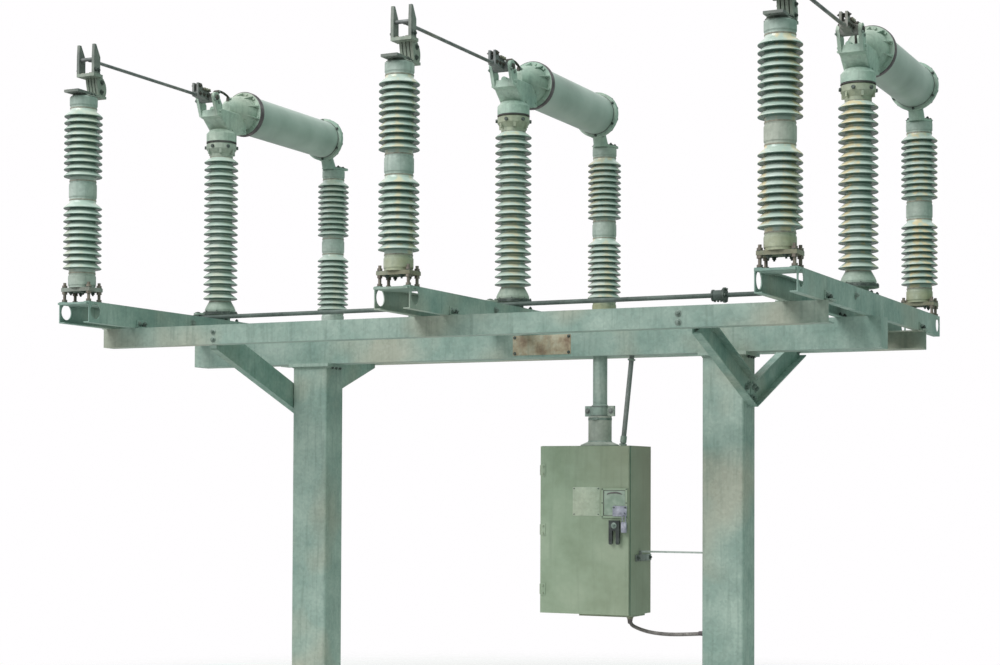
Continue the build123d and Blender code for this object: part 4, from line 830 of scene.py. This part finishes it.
turned(build, [(0.068, 1.858), (0.0725, 1.859), (0.0715, 1.864), (0.068, 1.865)], pipe_axis, 48,
       loop=True, finish=1)
new_piece("sleeve_clamp", build, "frame", "boot_sheet", fastener_zinc, pipe_zinc)

# Operator cabinet
# Sheet steel, welded and enamelled grey-green; the enamel has chalked and gone matt, with brown marks at
# the edges. The door hangs on three knuckles and closes on a rubber seal.
# The chalk lies in clouds of 220 mm, with runs 33 mm wide and 500 mm long, over a skin of 6 mm waves.
cabinet_paint, tree, surface, place, _, tone = cloudy_finish(
    "chalked_grey_green_enamel", (4.5, 5.0, 0.6), ((0.30, "#7f9179"), (0.50, "#8d9f88"),
    (0.72, "#9cab95")), (0.46, 0.66), (160.0, 2.0, 0.10, 0.0015), IOR=1.50)
runs = streaks(tree, place, 30.0, 2.0, 3.0)
tone = tinted(tree, tone, runs, 0.54, 0.78, 0.30, "#6a7a68")
# Brown where the sheet turns sharply outwards, as enamel wears off at its edges.
worn = add_node(tree, "NewGeometry", out="Pointiness")
tone = tinted(tree, tone, worn, 0.56, 0.66, 0.5, "#7b6f5b")
set_inputs(surface, {"Base Color": tone})
# The boot's sheet has chalked paler. The door's rubber seal is dark green: painted shade for the seam
# round the door.
boot_sheet = weathered("chalky_boot_sheet", "#b4bbb2", "#a0a89e", "#8b948a", metallic=0.0)
door_rubber = plain_surface("dark_green_door_seal_painted_shade", "#4c7059", "#3c5f49", "#2d4b39", 0.05)
finish_nodes(cabinet_paint, "cabinet_shell", "cabinet_door")
finish_nodes(boot_sheet, "pipe_boot")
SEAL_Y, SEAL_DEPTH, SEAL_WIDTH, SEAL_HEIGHT = -0.1485, 0.011, 0.5622, 0.9814
# Painted shade: dark green rubber strips where the seam round the door lies in shadow.
build = bmesh.new()
for x, width in ((0.2725, 0.005), (0.8296, 0.0052)):
    block(build, (x, SEAL_Y, 1.3417), (width, SEAL_DEPTH, SEAL_HEIGHT), 0.0008)
for z, height in ((0.8535, 0.005), (1.82995, 0.0049)):
    block(build, (0.5511, SEAL_Y, z), (SEAL_WIDTH, SEAL_DEPTH, height), 0.0008)
new_piece("door_seal", build, "frame", "cabinet_paint", door_rubber)

# Fixings of the cabinet: bolts of the strap's foot, the strap's clip on the post, and the locknuts and
# clip of the conduit.
build = bmesh.new()
for y in (-0.045, 0.140):
    bolt(build, (0.8388, y, 1.1795), (1, 0, 0), 0.015, 0.003, finish=1, spin=y * 8)
block(build, (1.2479, 0.0, 1.196), (0.0078, 0.048, 0.072))
bolt(build, (1.2442, 0.0, 1.170), (-1, 0, 0), 0.014, 0.004, finish=1)
block(build, (1.23825, 0.0, 1.217), (0.0125, 0.034, 0.015))
bolt(build, (1.238, 0.0, 1.2245), UP, 0.012, washer=False, finish=1)
conduit_foot = Vector((0.723, 0, 1.833))
conduit_way = Vector((0.056, 0, 0.532)).normalized()
for reach in (0.004, 0.505):
    turned(build, [(0.014, 0), (0.0225, 0), (0.0225, 0.010), (0.014, 0.012)],
           aimed(conduit_foot + conduit_way * reach, conduit_way), 6, loop=True)
ring(build, 0.014, 0.019, 0, 0.040, aimed(conduit_foot + conduit_way * 0.020, conduit_way), 24)
new_piece("cabinet_fixings", build, "frame", "galvanised_steel", pipe_zinc, dark_fasteners)

# Door furniture: a bare riveted plate, hinge leaves and the rivets of the window's frame, all fixed to
# the sheet door. The plate's pale enamel has nothing on it.
plate_enamel = weathered("pale_bare_plate", "#b3c0ad", "#a3b39f", "#8fa18d", run=0.15, patch_size=0.10,
                         metallic=0.0)
DOOR_FACE = -0.173
PLATE_X, PLATE_Z = 0.565, 1.508
build = bmesh.new()
face = aimed((PLATE_X, DOOR_FACE, PLATE_Z), FRONT)
plate(build, box_outline(0.086, 0.084, 0.006), -0.0004, 0.0018, face, 0.0005, finish=1)
for x in (-0.077, 0.077):
    for z in (-0.075, 0.075):
        turned(build, [(0, 0.0016), (0.0042, 0.0016), (0.0036, 0.0034), (0.0018, 0.0042), (0, 0.0044)],
               aimed((PLATE_X + x, DOOR_FACE, PLATE_Z + z), FRONT), 14, finish=2)
for z in (0.99, 1.34, 1.69):
    leaf = aimed((0.2885, DOOR_FACE, z), FRONT)
    plate(build, box_outline(0.0165, 0.036, 0.004), -0.0004, 0.0026, leaf, 0.0006)
    for rise in (-0.022, 0.022):
        at = (0.2905, DOOR_FACE - 0.0026, z + rise)
        bolt(build, at, FRONT, 0.010, washer=False)
for x in (0.6692, 0.8198):
    for z in (1.42, 1.5, 1.58):
        turned(build, [(0, -0.0006), (0.0042, -0.0006), (0.0038, 0.0012), (0.0022, 0.0022), (0, 0.0024)],
               aimed((x, -0.181, z), FRONT), 14, finish=2)
new_piece("door_furniture", build, "cabinet_door", "cabinet_paint", cabinet_paint, plate_enamel,
          dark_fasteners)

# The window: a pane of float glass in a rubber strip, under a small rain visor. The glass shines, with
# dust in clouds of 45 mm.
window_glass = cloudy_finish(
    "dusty_window_glass", (22.0, 5.0, 0.5), ((0.35, "#7d9180"), (0.70, "#9aab9b")), (0.05, 0.30),
    **{"IOR": 1.52, "Coat Weight": 0.4})[0]


def arc(centre, across, up, degrees):
    """Points round a centre, from the arc's two half axes, at each of the angles."""
    return [tuple(c + a * cos(angle) + u * sin(angle) for c, a, u in zip(centre, across, up))
            for angle in map(radians, degrees)]


WINDOW_X, WINDOW_Z = 0.7445, 1.500
build = bmesh.new()
face = aimed((WINDOW_X, DOOR_FACE, WINDOW_Z), FRONT)
plate(build, box_outline(0.07, 0.075, 0.004), -0.001, 0.0035, face, 0.0008)
strip = [(WINDOW_X + x, -0.1772, WINDOW_Z + z) for x, z in box_outline(0.0685, 0.0735, 0.006)]
bar(build, strip + strip[:1], 0.0018, 6, finish=1)
visor = arc((WINDOW_X, -0.1785, 1.548), (0.046, 0, 0), (0, 0, 0.012), range(0, 181, 9))
swell = [0.0016 + 0.0022 * sin(pi * i / (len(visor) - 1)) for i in range(len(visor))]
bar(build, visor, swell, 8, finish=1)
new_piece("door_window", build, "cabinet_door", "cabinet_paint", window_glass, seal_rubber)

# Hasp and padlock: a bolted hasp plate with a staple, and a die-cast padlock that hangs from it beside
# the handle. Its alloy is dull, a grey with a touch of lilac.
padlock_alloy = plain_surface("lilac_grey_padlock", "#b3b4c0", "#9b9daa", "#80828f", 0.03, 0.5)
PADLOCK_X, PADLOCK_Y = 0.812, -0.1970
build = bmesh.new()
plate(build, box_outline(0.044, 0.030, 0.004), 0.0, 0.0045, aimed((0.780, -0.1808, 1.453), FRONT),
      0.0008)
staple = arc((PADLOCK_X, -0.194, 1.436), (0, 0.0087, 0), (0, 0, 0.0087), range(0, 360, 20))
bar(build, staple + staple[:1], 0.0025, 8)
case = aimed((PADLOCK_X, PADLOCK_Y, 1.36), FRONT)
plate(build, box_outline(0.015, 0.03, 0.005), -0.0095, 0.0095, case, 0.0025)
shackle = arc((PADLOCK_X, PADLOCK_Y, 1.426), (0.0095, 0, 0), (0, 0, 0.0095), range(0, 181, 15))
bar(build, [(0.8215, PADLOCK_Y, 1.385), *shackle, (0.8025, PADLOCK_Y, 1.385)], 0.0035, 10)
turned(build, [(0, 0), (0.005, 0), (0.0045, 0.0012), (0, 0.0012)],
       aimed((PADLOCK_X, PADLOCK_Y, 1.3302), DOWN), 12)
for x in (0.744, 0.816):
    bolt(build, (x, -0.1853, 1.474), FRONT, 0.009, washer=False, finish=1)
new_piece("hasp_and_padlock", build, "cabinet_door", "cabinet_paint", padlock_alloy, dark_fasteners)

# Door handle
# A cast two-pronged handle, enamelled black and rubbed grey at its edges, held by a nut on its spindle.
handle_enamel = plain_surface("rubbed_black_enamel", "#4a524f", "#333a38", "#252b29", 0.05)
finish_nodes(handle_enamel, "door_handle")
build = bmesh.new()
bolt(build, (0.751, -0.2011, 1.370), FRONT, 0.017, 0.003, spin=0.2)
new_piece("handle_nut", build, "door_handle", "dark_handle", fastener_zinc)

# Control cable
# One sheathed cable leaves a gland in the cabinet's floor, sags and enters the post through a second
# gland. Both glands are plated, with hexagon nuts and tapered rubber sleeves.
cable_jacket = plain_surface("dusty_cable_jacket", "#8a8582", "#716c6a", "#595553", 0.03)
plated_gland = weathered("dull_plated_gland", "#a9a896", "#8b8a79", "#6b6a5c", run=0.0, patch_size=0.02,
                         metallic=0.5)
finish_nodes(plated_gland, "cable_glands")
route = [(0.771, 0, 0.820), (0.771, 0, 0.79186), (0.8173, 0, 0.76774), (0.89601, 0, 0.747),
         (1.0025, 0, 0.739), (1.12288, 0, 0.744), (1.234, 0, 0.753)]
line = bpy.data.curves.new("control_cable", "CURVE")
line.dimensions = "3D"
line.bevel_depth = 0.011
line.bevel_resolution = 5
line.resolution_u = 16
strand = line.splines.new("NURBS")
strand.points.add(len(route) - 1)
for point, place in zip(strand.points, route):
    point.co = (*place, 1.0)
strand.order_u = 3
strand.use_endpoint_u = True
line.materials.append(cable_jacket)
cable = link(bpy.data.objects.new("control_cable", line))
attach(cable, "frame")
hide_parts("post_cable")
build = bmesh.new()
for place, way, reach in (((0.771, 0, 0.8205), DOWN, 0.026), ((1.2345, 0, 0.753), (-1, 0, 0), 0.036)):
    turned(build, [(0.0105, 0), (0.016, 0), (0.0155, 0.004), (0.0125, reach), (0.0108, reach + 0.001),
                   (0.0105, reach)], aimed(place, way), 24, loop=True, finish=1)
for place, way in (((0.771, 0, 0.8335), DOWN), ((1.2475, 0, 0.753), (-1, 0, 0))):
    turned(build, [(0.0165, 0), (0.0215, 0), (0.0215, 0.006), (0.0205, 0.0072), (0.0165, 0.0072)],
           aimed(place, way), 6, loop=True)
new_piece("cable_strain_reliefs", build, "frame", "gland_brass", plated_gland, seal_rubber)
